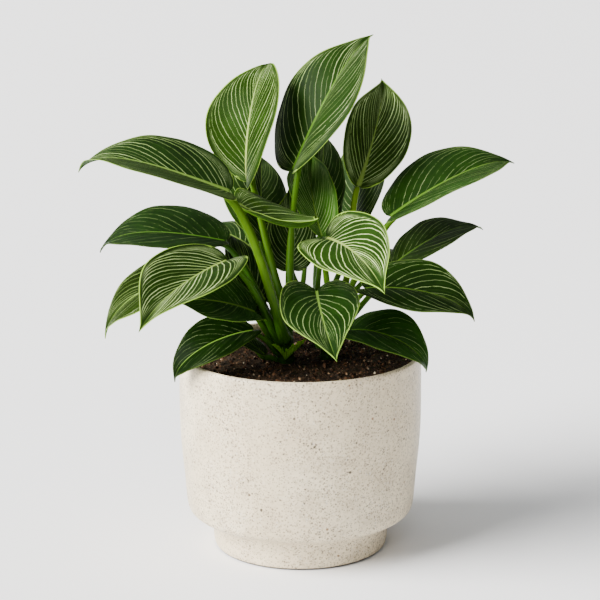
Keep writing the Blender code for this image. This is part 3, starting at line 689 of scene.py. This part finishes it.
def petiole_material(name, warm, brightness_and_painted_fill, seed):
    n = Nodes(name)
    where = n.new("ShaderNodeTexCoord").outputs["Object"]
    t, turn, _ = n.split(n.attribute("run"))
    streak = n.noise(n.vector(n.math("MULTIPLY", t, 3.0), n.math("MULTIPLY", turn, 6.0), seed), 5.0, 3.0, 0.6)
    cloud = n.noise(where, 55.0, 2.0, 0.5)
    low = (0.010 * brightness_and_painted_fill, 0.042 * brightness_and_painted_fill, 0.0012)
    high = ((0.024 + 0.050 * warm) * brightness_and_painted_fill, (0.098 + 0.04 * warm) * brightness_and_painted_fill, 0.0010)
    colour = n.mix(n.step(t, 0.10, 0.62), low, high)
    colour = n.mix(n.math("MULTIPLY", n.step(streak, 0.42, 0.68), 0.30), colour, ((0.044 + 0.03 * warm) * brightness_and_painted_fill, 0.135 * brightness_and_painted_fill, 0.004))
    colour = n.mix(n.math("MULTIPLY", n.step(cloud, 0.52, 0.72), 0.25), colour, (0.012, 0.042, 0.0015))
    height = n.math("ADD", n.math("MULTIPLY", streak, 0.7), n.math("MULTIPLY", n.noise(where, 1800.0, 2.0), 0.3))
    n.set(Base_Color=colour, Roughness=n.range(streak, 0.3, 0.7, 0.36, 0.46), Specular_IOR_Level=0.09,
          Subsurface_Weight=0.10, Subsurface_Scale=0.002, Normal=n.bump(height, 0.5, 0.0002))
    n.shader.inputs["Subsurface Radius"].default_value = (0.5, 1.0, 0.15)
    return n.mat


def stoneware():
    n = Nodes("pot_speckled_stoneware")
    where = n.new("ShaderNodeTexCoord").outputs["Object"]
    body = n.mix(n.step(n.noise(where, 11.0, 3.0, 0.5), 0.35, 0.65), (0.620, 0.515, 0.340), (0.720, 0.620, 0.435))
    body = n.mix(n.math("MULTIPLY", n.step(n.noise(where, 60.0, 3.0, 0.6), 0.42, 0.66), 0.42), body, (0.470, 0.385, 0.260))
    body = n.mix(n.math("MULTIPLY", n.step(n.noise(where, 420.0, 2.0, 0.6), 0.45, 0.70), 0.55), body, (0.430, 0.345, 0.225))

    thick = n.range(n.noise(where, 28.0, 3.0, 0.6), 0.36, 0.64, -0.30, 0.30)

    def specks(scale, size, seed, keep):
        cells = n.new("ShaderNodeTexVoronoi", feature="F1", voronoi_dimensions="3D")
        shift = n.new("ShaderNodeVectorMath", operation="ADD")
        n.link(where, shift.inputs[0])
        shift.inputs[1].default_value = (seed, seed * 0.7, seed * 1.3)
        n.link(shift.outputs[0], cells.inputs["Vector"])
        cells.inputs["Scale"].default_value = scale
        cells.inputs["Randomness"].default_value = 1.0
        pick, tone, _ = n.split(cells.outputs["Color"])
        ragged = n.math("MULTIPLY", n.math("SUBTRACT", n.noise(where, scale * 3.0, 2.0), 0.5), size * 0.9)
        dist = n.math("ADD", cells.outputs["Distance"], ragged)
        pick = n.math("ADD", pick, n.math("MULTIPLY", thick, 0.55))
        grow = n.range(pick, keep, 1.0, 0.40, 1.0)
        dot = n.math("SUBTRACT", 1.0, n.step(dist, n.math("MULTIPLY", grow, size * 0.65), n.math("MULTIPLY", grow, size)))
        return n.math("MULTIPLY", dot, n.math("GREATER_THAN", pick, keep)), tone

    fine, fine_tone = specks(620.0, 0.58, 1.3, 0.12)
    medium, medium_tone = specks(350.0, 0.33, 4.1, 0.50)
    large, large_tone = specks(125.0, 0.17, 8.7, 0.72)
    colour = n.mix(n.math("MULTIPLY", fine, 0.66), body, n.mix(fine_tone, (0.12, 0.09, 0.06), (0.32, 0.25, 0.17)))
    colour = n.mix(n.math("MULTIPLY", medium, 0.85), colour, n.mix(medium_tone, (0.06, 0.045, 0.03), (0.22, 0.165, 0.11)))
    colour = n.mix(n.math("MULTIPLY", large, 0.90), colour, n.mix(large_tone, (0.025, 0.017, 0.01), (0.22, 0.11, 0.045)))
    pale, _ = specks(420.0, 0.45, 15.2, 0.72)
    colour = n.mix(n.math("MULTIPLY", pale, 0.45), colour, (0.68, 0.62, 0.51))
    # Painted shade: the lowest 2 mm of the foot are darkened as the contact shadow along its bottom edge.
    height = n.split(where)[2]
    colour = n.mix(n.step(height, 0.0021, 0.0011), colour, (0.035, 0.026, 0.018))
    pits = n.math("ADD", n.math("MULTIPLY", medium, -0.5), n.math("MULTIPLY", n.noise(where, 700.0, 3.0, 0.6), 0.6))
    pits = n.math("ADD", pits, n.math("MULTIPLY", large, -0.8))
    rough = n.math("ADD", n.range(n.noise(where, 180.0, 3.0, 0.6), 0.3, 0.7, 0.34, 0.48), n.math("MULTIPLY", medium, 0.12))
    n.set(Base_Color=colour, Roughness=rough, Specular_IOR_Level=0.32, Coat_Weight=0.12, Coat_Roughness=0.16,
          Normal=n.bump(pits, 0.35, 0.0002))
    return n.mat


def soil_material():
    n = Nodes("potting_soil_fine")
    where = n.new("ShaderNodeTexCoord").outputs["Object"]
    tone = n.split(n.attribute("grain"))[0]
    base = n.mix(n.step(n.noise(where, 240.0, 4.0, 0.65), 0.38, 0.66), (0.0058, 0.0036, 0.0016), (0.036, 0.0200, 0.0090))
    base = n.mix(n.math("MULTIPLY", n.step(n.noise(where, 800.0, 3.0, 0.6), 0.56, 0.72), 0.7), base, (0.095, 0.050, 0.026))
    colour = n.mix(n.step(tone, 0.45, 0.85), base, (0.080, 0.036, 0.016))
    colour = n.mix(n.step(tone, 0.89, 0.95), colour, (0.20, 0.125, 0.070))
    colour = n.mix(n.step(tone, 0.972, 0.985), colour, (0.46, 0.38, 0.27))
    n.set(Base_Color=colour, Roughness=n.range(n.noise(where, 500.0, 2.0), 0.3, 0.7, 0.50, 0.92), Specular_IOR_Level=0.12,
          Normal=n.bump(n.noise(where, 1500.0, 4.0, 0.7), 0.8, 0.0005))
    return n.mat


def ground_material():
    n = Nodes("ground")
    where = n.new("ShaderNodeTexCoord").outputs["Object"]
    x, y, _ = n.split(where)
    # Painted shade: the floor paper darkens towards the right and a little towards the back, standing in for light
    # falling off away from the left.
    painted_falloff = n.range(n.math("ADD", x, n.math("MULTIPLY", y, 0.10)), -0.5, 0.7, 1.0, 0.0)
    paper = n.mix(painted_falloff, (0.835, 0.835, 0.845), (0.900, 0.900, 0.905))
    paper = n.mix(n.math("MULTIPLY", n.noise(where, 900.0, 2.0), 0.05), paper, (0.80, 0.80, 0.80))
    n.set(Base_Color=paper, Roughness=0.95, Specular_IOR_Level=0.0)
    return n.mat


# --------------------------------------------------------------- petiole, stems
def stem_radius(height):
    return STEM_RADIUS - 0.0020 * height / STEM_HEIGHT


def petiole_path(leaf, steps, top_radius, follow, sway):
    """Centreline from inside the stem to a little way under the midrib."""
    stem_x, stem_y, stem_h = STEMS[leaf[0]]
    height = leaf[1] / 1000
    points, frames = spine(leaf)
    t, b, n = frames[0]
    target = points[0]
    axis = np.array([stem_x / 1000, stem_y / 1000, SOIL_LEVEL + SOIL_CROWN + height])
    turn = math.radians(leaf[2])
    out = np.array([math.cos(turn), math.sin(turn), 0])
    start = axis + out * (stem_radius(height) + 0.0027 * 0.9 + GAP)
    chord = unit(target - start)
    arrive = unit(follow * t + (1 - follow) * chord)
    arrive = unit(arrive + n * max(0.0, 0.05 - np.dot(arrive, n)))
    end = target - n * (0.0006 + 0.75 * top_radius) - t * 0.0010
    reach = np.linalg.norm(end - start)
    leave = unit(0.5 * out + np.array([sway[0], sway[1], 1.0]))
    path = bezier(start, start + leave * 0.38 * reach, end - arrive * 0.28 * reach, end, np.linspace(0, 1, steps))
    return path, axis, out, (t, b, n), target


def sweep_mesh(name, path, rings, turns):
    """Closed skin through rings of points, with the run along and round it."""
    verts, faces = [], []
    k = len(rings[0])
    for ring in rings:
        verts.extend(ring)
    for i in range(len(rings) - 1):
        for j in range(k):
            a, b = i * k + j, i * k + (j + 1) % k
            faces.append((a, b, b + k, a + k))
    faces.append(tuple(range(k))[::-1])
    faces.append(tuple((len(rings) - 1) * k + j for j in range(k)))
    mesh = bpy.data.meshes.new(name)
    mesh.from_pydata([tuple(v) for v in verts], [], faces)
    mesh.update()
    layer = mesh.attributes.new("run", "FLOAT_VECTOR", "POINT")
    layer.data.foreach_set("vector", np.array(turns, np.float32).ravel())
    obj = bpy.data.objects.new(name, mesh)
    bpy.context.scene.collection.objects.link(obj)
    mesh.shade_smooth()
    return obj


def build_petiole(key, leaf):
    steps, sides = 56, 22
    low, high = PETIOLE_RADII.get(key, (2.7, 1.7))
    path, axis, out, (t, b, n), target = petiole_path(leaf, steps, high / 1000, PETIOLE_FOLLOW_LESS.get(key, 0.45), PETIOLE_SWAY.get(key, (0.0, 0.0)))
    # the foot leans into its stem and the head runs on under the midrib
    foot = axis - np.array([0, 0, 0.0035]) + out * 0.0022
    r = high / 1000
    path = np.concatenate([[foot], path[1:], [target + t * 0.003 - n * (0.0008 + 0.80 * r), target + t * 0.009 - n * (0.0010 + 0.75 * r)]])
    # even the points out, then smooth the joins
    run = np.concatenate([[0], np.cumsum(np.linalg.norm(np.diff(path, axis=0), axis=1))])
    even = np.linspace(0, run[-1], steps)
    path = np.stack([np.interp(even, run, path[:, k]) for k in range(3)], 1)
    for _ in range(10):
        path[1:-1] = path[1:-1] * 0.5 + (path[:-2] + path[2:]) * 0.25
    tangent = np.gradient(path, axis=0)
    tangent /= np.linalg.norm(tangent, axis=1)[:, None]
    f = np.linspace(0, 1, steps)
    radius = (low + (high - low) * f**0.8) / 1000
    radius *= 1 + 0.35 * np.exp(-(f / 0.07) ** 2)
    where, depth = PETIOLE_WAIST.get(key, (0.5, 0.0))
    radius *= 1 - depth * np.exp(-((f - where) / 0.10) ** 2)
    total = np.linalg.norm(np.diff(path, axis=0), axis=1).sum()
    radius *= 1 - 0.55 * smooth(f, 1 - 0.011 / total, 1.0)
    up = n - tangent[-1] * np.dot(n, tangent[-1])
    ups = [unit(up)]
    for i in range(steps - 2, -1, -1):
        v = ups[-1] - tangent[i] * np.dot(ups[-1], tangent[i])
        ups.append(unit(v))
    ups = ups[::-1]
    rings, turns = [], []
    for i in range(steps):
        side = np.cross(tangent[i], ups[i])
        ring = []
        channel = smooth(f[i], 0.12, 0.35) * (1 - smooth(f[i], 0.90, 1.0))
        for j in range(sides):
            a = 2 * math.pi * j / sides
            r = radius[i] * (1 - 0.20 * channel * math.exp(-((math.degrees(a) - 90) / 26) ** 2)
                             + 0.05 * channel * math.exp(-((abs(math.degrees(a) - 90) - 38) / 14) ** 2))
            r *= 1 + 0.012 * math.sin(7 * a + 3 * f[i])
            ring.append(path[i] + r * (side * math.cos(a) + ups[i] * math.sin(a)))
            turns.append((f[i], j / sides, 0))
        rings.append(ring)
    return sweep_mesh("leaf_%s_petiole_fine" % key, path, rings, turns)


def build_stem(key):
    x, y, height = (v / 1000 for v in STEMS[key])
    rng = np.random.default_rng(ord(key))
    steps, sides = 46, 28
    rings, turns = [], []
    base = SOIL_LEVEL - STEM_SOCKET
    tall = STEM_SOCKET + height
    for i in range(steps):
        f = i / (steps - 1)
        h = f * tall
        above = h - STEM_SOCKET
        r = STEM_RADIUS * 0.85 + 0.0010 * smooth(h, 0, 0.004) if above < 0 else STEM_RADIUS - 0.0016 * above / height
        r -= 0.0034 * smooth(f, 0.90, 1.0)
        # leaf scars ring the stem
        for k, node in enumerate((0.006, 0.013, 0.021, 0.029)):
            r += 0.00055 * math.exp(-((above - node) / 0.0007) ** 2) - 0.0003 * math.exp(-((above - node - 0.0014) / 0.0007) ** 2)
        ring = []
        for j in range(sides):
            a = 2 * math.pi * j / sides
            w = 1 + 0.03 * math.sin(3 * a + 40 * h) + 0.015 * math.sin(7 * a)
            ring.append(np.array([x + r * w * math.cos(a), y + r * w * math.sin(a), base + h]))
            turns.append((f * 0.5, j / sides, 0))
        rings.append(ring)
    return sweep_mesh("stem_%s_fine" % key, None, rings, turns)


def build_sheath():
    x, y = STEMS["a"][0] / 1000, STEMS["a"][1] / 1000
    steps, sides = 110, 30
    rings, turns = [], []
    for i in range(steps + 1):
        f = max(-0.995, min(0.995, -1 + 2 * i / steps))
        reach, rise, band, round_stem = SHEATH_LEFT if f < 0 else SHEATH_RIGHT
        g = abs(f)
        turn = math.radians(round_stem) * f
        near = STEM_RADIUS + GAP + (reach - STEM_RADIUS - GAP) * g**1.5
        low = SOIL_LEVEL + SOIL_CROWN + SHEATH_FOOT + rise * g**1.15
        tall = 0.0006 + 1.35 * band * (1 - g**3)
        tall *= 1 + 0.10 * math.sin(23 * f + 1.0) + 0.06 * math.sin(41 * f)
        ring = []
        for j in range(sides):
            a = 2 * math.pi * j / sides
            h = 0.5 + 0.5 * math.sin(a)          # 0 at the lower edge, 1 at the upper
            thin = SHEATH_THICKNESS * (0.62 - 0.30 * h)
            wave = 0.0007 * h * h * (math.sin(31 * f + 0.6) + 0.6 * math.sin(53 * f))
            curl = 0.30 * tall * h + 0.0011 * h**3 + wave
            r = near + 0.5 * SHEATH_THICKNESS + curl + thin * math.cos(a)
            ring.append(np.array([x + r * math.sin(turn), y - r * math.cos(turn), low + tall * (h - 0.10 * h**3)]))
            turns.append((0.35 + 0.65 * h, j / sides, 0))
        rings.append(ring)
    return sweep_mesh("stem_a_sheath_fine", None, rings, turns)


# ------------------------------------------------------------------ pot and soil
def round_profile(points, radii, steps=6):
    """Profile with each corner rounded by its radius."""
    done = [np.array(points[0], float)]
    for i in range(1, len(points) - 1):
        p, a, b = (np.array(points[k], float) for k in (i, i - 1, i + 1))
        la, lb = np.linalg.norm(a - p), np.linalg.norm(b - p)
        r = min(radii[i], la * 0.45, lb * 0.45)
        s, e = p + (a - p) / la * r, p + (b - p) / lb * r
        for k in range(steps + 1):
            f = k / steps
            done.append((1 - f) ** 2 * s + 2 * f * (1 - f) * p + f * f * e)
    done.append(np.array(points[-1], float))
    return done


def turned(name, profile, segments, ripple=0.0):
    verts, faces, starts = [], [], []
    for r, z in profile:
        starts.append(len(verts))
        if r < 1e-6:
            verts.append((0, 0, z))
            continue
        for i in range(segments):
            a = 2 * math.pi * i / segments
            w = 1 + ripple * (math.sin(3 * a + 30 * z) + 0.6 * math.sin(5 * a - 55 * z + 1.3)) * min(1.0, z / 0.02)
            verts.append((r * w * math.cos(a), r * w * math.sin(a), z))
    for k in range(len(profile) - 1):
        r0, r1 = profile[k][0], profile[k + 1][0]
        for i in range(segments):
            j = (i + 1) % segments
            if r0 < 1e-6:
                faces.append((starts[k], starts[k + 1] + j, starts[k + 1] + i))
            elif r1 < 1e-6:
                faces.append((starts[k] + i, starts[k] + j, starts[k + 1]))
            else:
                faces.append((starts[k] + i, starts[k] + j, starts[k + 1] + j, starts[k + 1] + i))
    mesh = bpy.data.meshes.new(name)
    mesh.from_pydata(verts, [], faces)
    mesh.update()
    obj = bpy.data.objects.new(name, mesh)
    bpy.context.scene.collection.objects.link(obj)
    mesh.shade_smooth()
    return obj


def build_pot():
    foot = [(0, 0), (0.0630, 0), (FOOT_RADIUS, 0.0022), (FOOT_RADIUS + 0.0008, 0.0060),
            (FOOT_RADIUS + 0.0011, FOOT_HEIGHT - 0.0110), (FOOT_RADIUS + 0.0018, FOOT_HEIGHT - 0.0065),
            (FOOT_RADIUS + 0.0038, FOOT_HEIGHT - 0.0026), (FOOT_RADIUS + 0.0078, FOOT_HEIGHT)]
    body = [(0.0775, 0.0263), (0.0815, 0.0279), (0.0836, 0.0297), (0.0847, 0.0322), (0.0853, 0.0352), (0.0859, 0.0410),
            (0.0872, 0.0580), (0.0888, 0.0735), (0.0898, 0.0880), (POT_RADIUS, 0.1020),
            (POT_RADIUS, 0.1200), (RIM_RADIUS, 0.1465), (0.0894, 0.1492), (0.0880, POT_HEIGHT)]
    inside = [(0.0868, 0.1498)] + INNER_WALL[::-1] + [(0, POT_FLOOR)]
    points = foot + body + inside
    profile = round_profile(points, [0, 0.0012] + [0.0030] * (len(foot) + len(body) - 4) + [0.0010] * 3 + [0.0030] * 20)
    return turned("pot_fine", profile, 200, 0.0006)


def value_noise(x, y, seed, scale):
    """Smooth noise in the plane, about -1 to 1."""
    rng = np.random.default_rng(seed)
    table = rng.uniform(-1, 1, (256, 256))
    gx, gy = x * scale + 100.3, y * scale + 57.7
    i, j = np.floor(gx).astype(int), np.floor(gy).astype(int)
    fx, fy = gx - i, gy - j
    fx, fy = fx * fx * (3 - 2 * fx), fy * fy * (3 - 2 * fy)
    a, b = table[i % 256, j % 256], table[(i + 1) % 256, j % 256]
    c, d = table[i % 256, (j + 1) % 256], table[(i + 1) % 256, (j + 1) % 256]
    return (a * (1 - fx) + b * fx) * (1 - fy) + (c * (1 - fx) + d * fx) * fy


def soil_height(x, y):
    r = np.hypot(x, y)
    z = SOIL_LEVEL + np.interp(r, [0, 0.017, 0.034, 0.050, 0.066, 0.078, 0.085], [0.0035, 0.0035, 0.0031, 0.0024, 0.0014, 0.0006, 0.0])
    lumps = (0.00070 * value_noise(x, y, 1, 80) + 0.00065 * value_noise(x, y, 2, 190) + 0.00050 * value_noise(x, y, 3, 420)
             + 0.00028 * value_noise(x, y, 4, 900))
    return z - 0.0003 + lumps


def build_soil():
    rings, segments = 78, 300
    edge = 0.0845
    verts, faces, tone = [], [], []
    radii = edge * np.linspace(0, 1, rings + 1)[1:] ** 0.85
    verts.append((0, 0, float(soil_height(np.zeros(1), np.zeros(1))[0])))
    a = np.linspace(0, 2 * math.pi, segments, endpoint=False)
    for r in radii:
        x, y = r * np.cos(a), r * np.sin(a)
        verts.extend(zip(x, y, soil_height(x, y)))
    side = [(r - 0.0010, z + 0.0007) for r, z in INNER_WALL[-2::-1]]
    for r, z in side:
        verts.extend(zip(r * np.cos(a), r * np.sin(a), np.full(segments, z)))
    verts.append((0, 0, POT_FLOOR + 0.0007))
    n = rings + len(side)
    for j in range(segments):
        faces.append((0, 1 + j, 1 + (j + 1) % segments))
    for k in range(n - 1):
        s0, s1 = 1 + k * segments, 1 + (k + 1) * segments
        for j in range(segments):
            j2 = (j + 1) % segments
            faces.append((s0 + j, s1 + j, s1 + j2, s0 + j2))
    last, end = 1 + (n - 1) * segments, len(verts) - 1
    for j in range(segments):
        faces.append((last + (j + 1) % segments, last + j, end))
    tone = [0.0] * len(verts)
    # loose crumbs, bark chips and a few pale grains, each a small irregular stone
    rng = np.random.default_rng(5)
    shape = []
    gold = (1 + 5**0.5) / 2
    ico = np.array([(-1, gold, 0), (1, gold, 0), (-1, -gold, 0), (1, -gold, 0), (0, -1, gold), (0, 1, gold),
                    (0, -1, -gold), (0, 1, -gold), (gold, 0, -1), (gold, 0, 1), (-gold, 0, -1), (-gold, 0, 1)]) / 1.902
    ico_faces = [(0, 11, 5), (0, 5, 1), (0, 1, 7), (0, 7, 10), (0, 10, 11), (1, 5, 9), (5, 11, 4), (11, 10, 2), (10, 7, 6), (7, 1, 8),
                 (3, 9, 4), (3, 4, 2), (3, 2, 6), (3, 6, 8), (3, 8, 9), (4, 9, 5), (2, 4, 11), (6, 2, 10), (8, 6, 7), (9, 8, 1)]
    feet = [(v[0] / 1000, v[1] / 1000) for v in STEMS.values()]
    made = 0
    while made < 2600:
        r, t = 0.0825 * math.sqrt(rng.uniform(0, 1)), rng.uniform(0, 2 * math.pi)
        x, y = r * math.cos(t), r * math.sin(t)
        size = float(np.clip(rng.lognormal(-7.15, 0.45), 0.00030, 0.0024))
        if r + size > 0.0838 or min(math.hypot(x - fx, y - fy) for fx, fy in feet) < 0.0078 + size:
            continue
        stretch = np.array([rng.uniform(0.8, 1.5), rng.uniform(0.6, 1.0), rng.uniform(0.5, 0.9)])
        turn = rng.normal(size=(3, 3))
        turn, _ = np.linalg.qr(turn)
        points = (ico * rng.uniform(0.8, 1.15, (12, 1)) * stretch * size) @ turn.T
        z = float(soil_height(np.array([x]), np.array([y]))[0]) + size * 0.15
        first = len(verts)
        flip = np.linalg.det(turn) < 0
        verts.extend((x + p[0], y + p[1], z + p[2]) for p in points)
        faces.extend(tuple(first + v for v in (f[::-1] if flip else f)) for f in ico_faces)
        kind = rng.uniform(0, 1)
        tone.extend([kind if size > 0.0004 or kind < 0.9 else 0.5] * 12)
        made += 1
    mesh = bpy.data.meshes.new("soil_fine")
    mesh.from_pydata([tuple(map(float, v)) for v in verts], [], faces)
    mesh.update()
    layer = mesh.attributes.new("grain", "FLOAT_VECTOR", "POINT")
    layer.data.foreach_set("vector", np.repeat(np.array(tone, np.float32), 3))
    obj = bpy.data.objects.new("soil_fine", mesh)
    bpy.context.scene.collection.objects.link(obj)
    mesh.shade_smooth()
    mesh.set_sharp_from_angle(angle=math.radians(50))
    return obj


# ------------------------------------------------------------------------ build
def carry(obj, node, mat):
    obj.data.materials.append(mat)
    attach(obj, "root")
    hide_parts(node)


carry(build_pot(), "pot", stoneware())
carry(build_soil(), "soil", soil_material())
for key in STEMS:
    carry(build_stem(key), "stem_" + key, petiole_material("stem_%s_skin" % key, 0.0, 0.55, ord(key) * 1.0))
# The sheath's skin is painted 2.2 times brighter, a painted fill light where it sits in the leaves' shade.
carry(build_sheath(), "stem_a_sheath", petiole_material("sheath_skin", 0.45, 2.2, 3.0))

PETIOLE_TONES = {"01": (0.6, 1.1), "02": (0.5, 1.1), "03": (0.4, 1.0), "04": (1.0, 1.2), "05": (0.5, 1.0), "09": (0.4, 1.0),
                 "11": (0.3, 0.9), "13": (0.2, 0.8), "12": (0.1, 0.7), "10": (0.1, 0.8)}
for key, leaf in LEAVES.items():
    blade = build_blade(key, leaf)
    carry(blade, "leaf_%s_blade" % key, leaf_material(key))
    warm, brightness_and_painted_fill = PETIOLE_TONES.get(key, (0.2, 0.75))
    petiole = build_petiole(key, leaf)
    carry(petiole, "leaf_%s_petiole" % key, petiole_material("leaf_%s_petiole_skin" % key, warm, brightness_and_painted_fill, int(key) * 1.7))

# ------------------------------------------------------------------------ stage
ground = bpy.data.meshes.new("ground")
ground.from_pydata([(-14, -14, 0), (14, -14, 0), (14, 14, 0), (-14, 14, 0)], [], [(0, 1, 2, 3)])
ground_obj = bpy.data.objects.new("ground", ground)
bpy.context.scene.collection.objects.link(ground_obj)
ground.materials.append(ground_material())

world = bpy.data.worlds.new("studio")
bpy.context.scene.world = world
world.use_nodes = True
sky = world.node_tree
toward = sky.nodes.new("ShaderNodeSeparateXYZ")
sky.links.new(sky.nodes.new("ShaderNodeTexCoord").outputs["Generated"], toward.inputs[0])
side = sky.nodes.new("ShaderNodeMapRange")
side.interpolation_type = "SMOOTHSTEP"
side.inputs["From Min"].default_value = -1.0
side.inputs["From Max"].default_value = 0.15
side.inputs["To Min"].default_value = 0.85
side.inputs["To Max"].default_value = 0.0
sky.links.new(toward.outputs["X"], side.inputs["Value"])
above = sky.nodes.new("ShaderNodeMapRange")
above.interpolation_type = "SMOOTHSTEP"
above.inputs["From Min"].default_value = 0.15
above.inputs["From Max"].default_value = 0.90
above.inputs["To Min"].default_value = 0.02
above.inputs["To Max"].default_value = 0.68
sky.links.new(toward.outputs["Z"], above.inputs["Value"])
slope = sky.nodes.new("ShaderNodeMath")
slope.operation = "ADD"
sky.links.new(side.outputs["Result"], slope.inputs[0])
sky.links.new(above.outputs["Result"], slope.inputs[1])
sky.links.new(slope.outputs[0], sky.nodes["Background"].inputs["Strength"])
sky.nodes["Background"].inputs["Color"].default_value = (0.97, 0.985, 1.0, 1.0)


def aim(obj, direction):
    """Turns a lamp to shine along this direction."""
    obj.rotation_euler = Vector(direction).to_track_quat("-Z", "Y").to_euler()


key_light = bpy.data.lights.new("key", "SUN")
key_light.energy = 14.9
key_light.angle = math.radians(46)
key_light.color = (1.0, 0.985, 0.96)
key_obj = bpy.data.objects.new("key", key_light)
bpy.context.scene.collection.objects.link(key_obj)
aim(key_obj, (0.790, 0.335, -0.515))

front = bpy.data.lights.new("front", "SPOT")
front.energy = 34.0
front.shadow_soft_size = 0.22
front.spot_size = math.radians(17.5)
front.spot_blend = 0.75
front_obj = bpy.data.objects.new("front", front)
bpy.context.scene.collection.objects.link(front_obj)
front_obj.location = (-0.05, -1.15, 1.05)
aim(front_obj, (0.05, 1.15, -0.77))


# ----------------------------------------------------------------------- camera
PITCH = math.radians(13.70)
FOCAL_PX = 2085.0
camera = bpy.data.cameras.new("camera")
camera.sensor_width = 36.0
camera.sensor_fit = "HORIZONTAL"
camera.lens = 36.0 * FOCAL_PX / 600.0
camera.shift_x = -0.4 / 600.0
camera.clip_start, camera.clip_end = 0.05, 60.0
camera_obj = bpy.data.objects.new("camera", camera)
bpy.context.scene.collection.objects.link(camera_obj)
camera_obj.location = (0.0, -1.5, 0.554)
camera_obj.rotation_euler = (math.pi / 2 - PITCH, 0, 0)
bpy.context.scene.camera = camera_obj
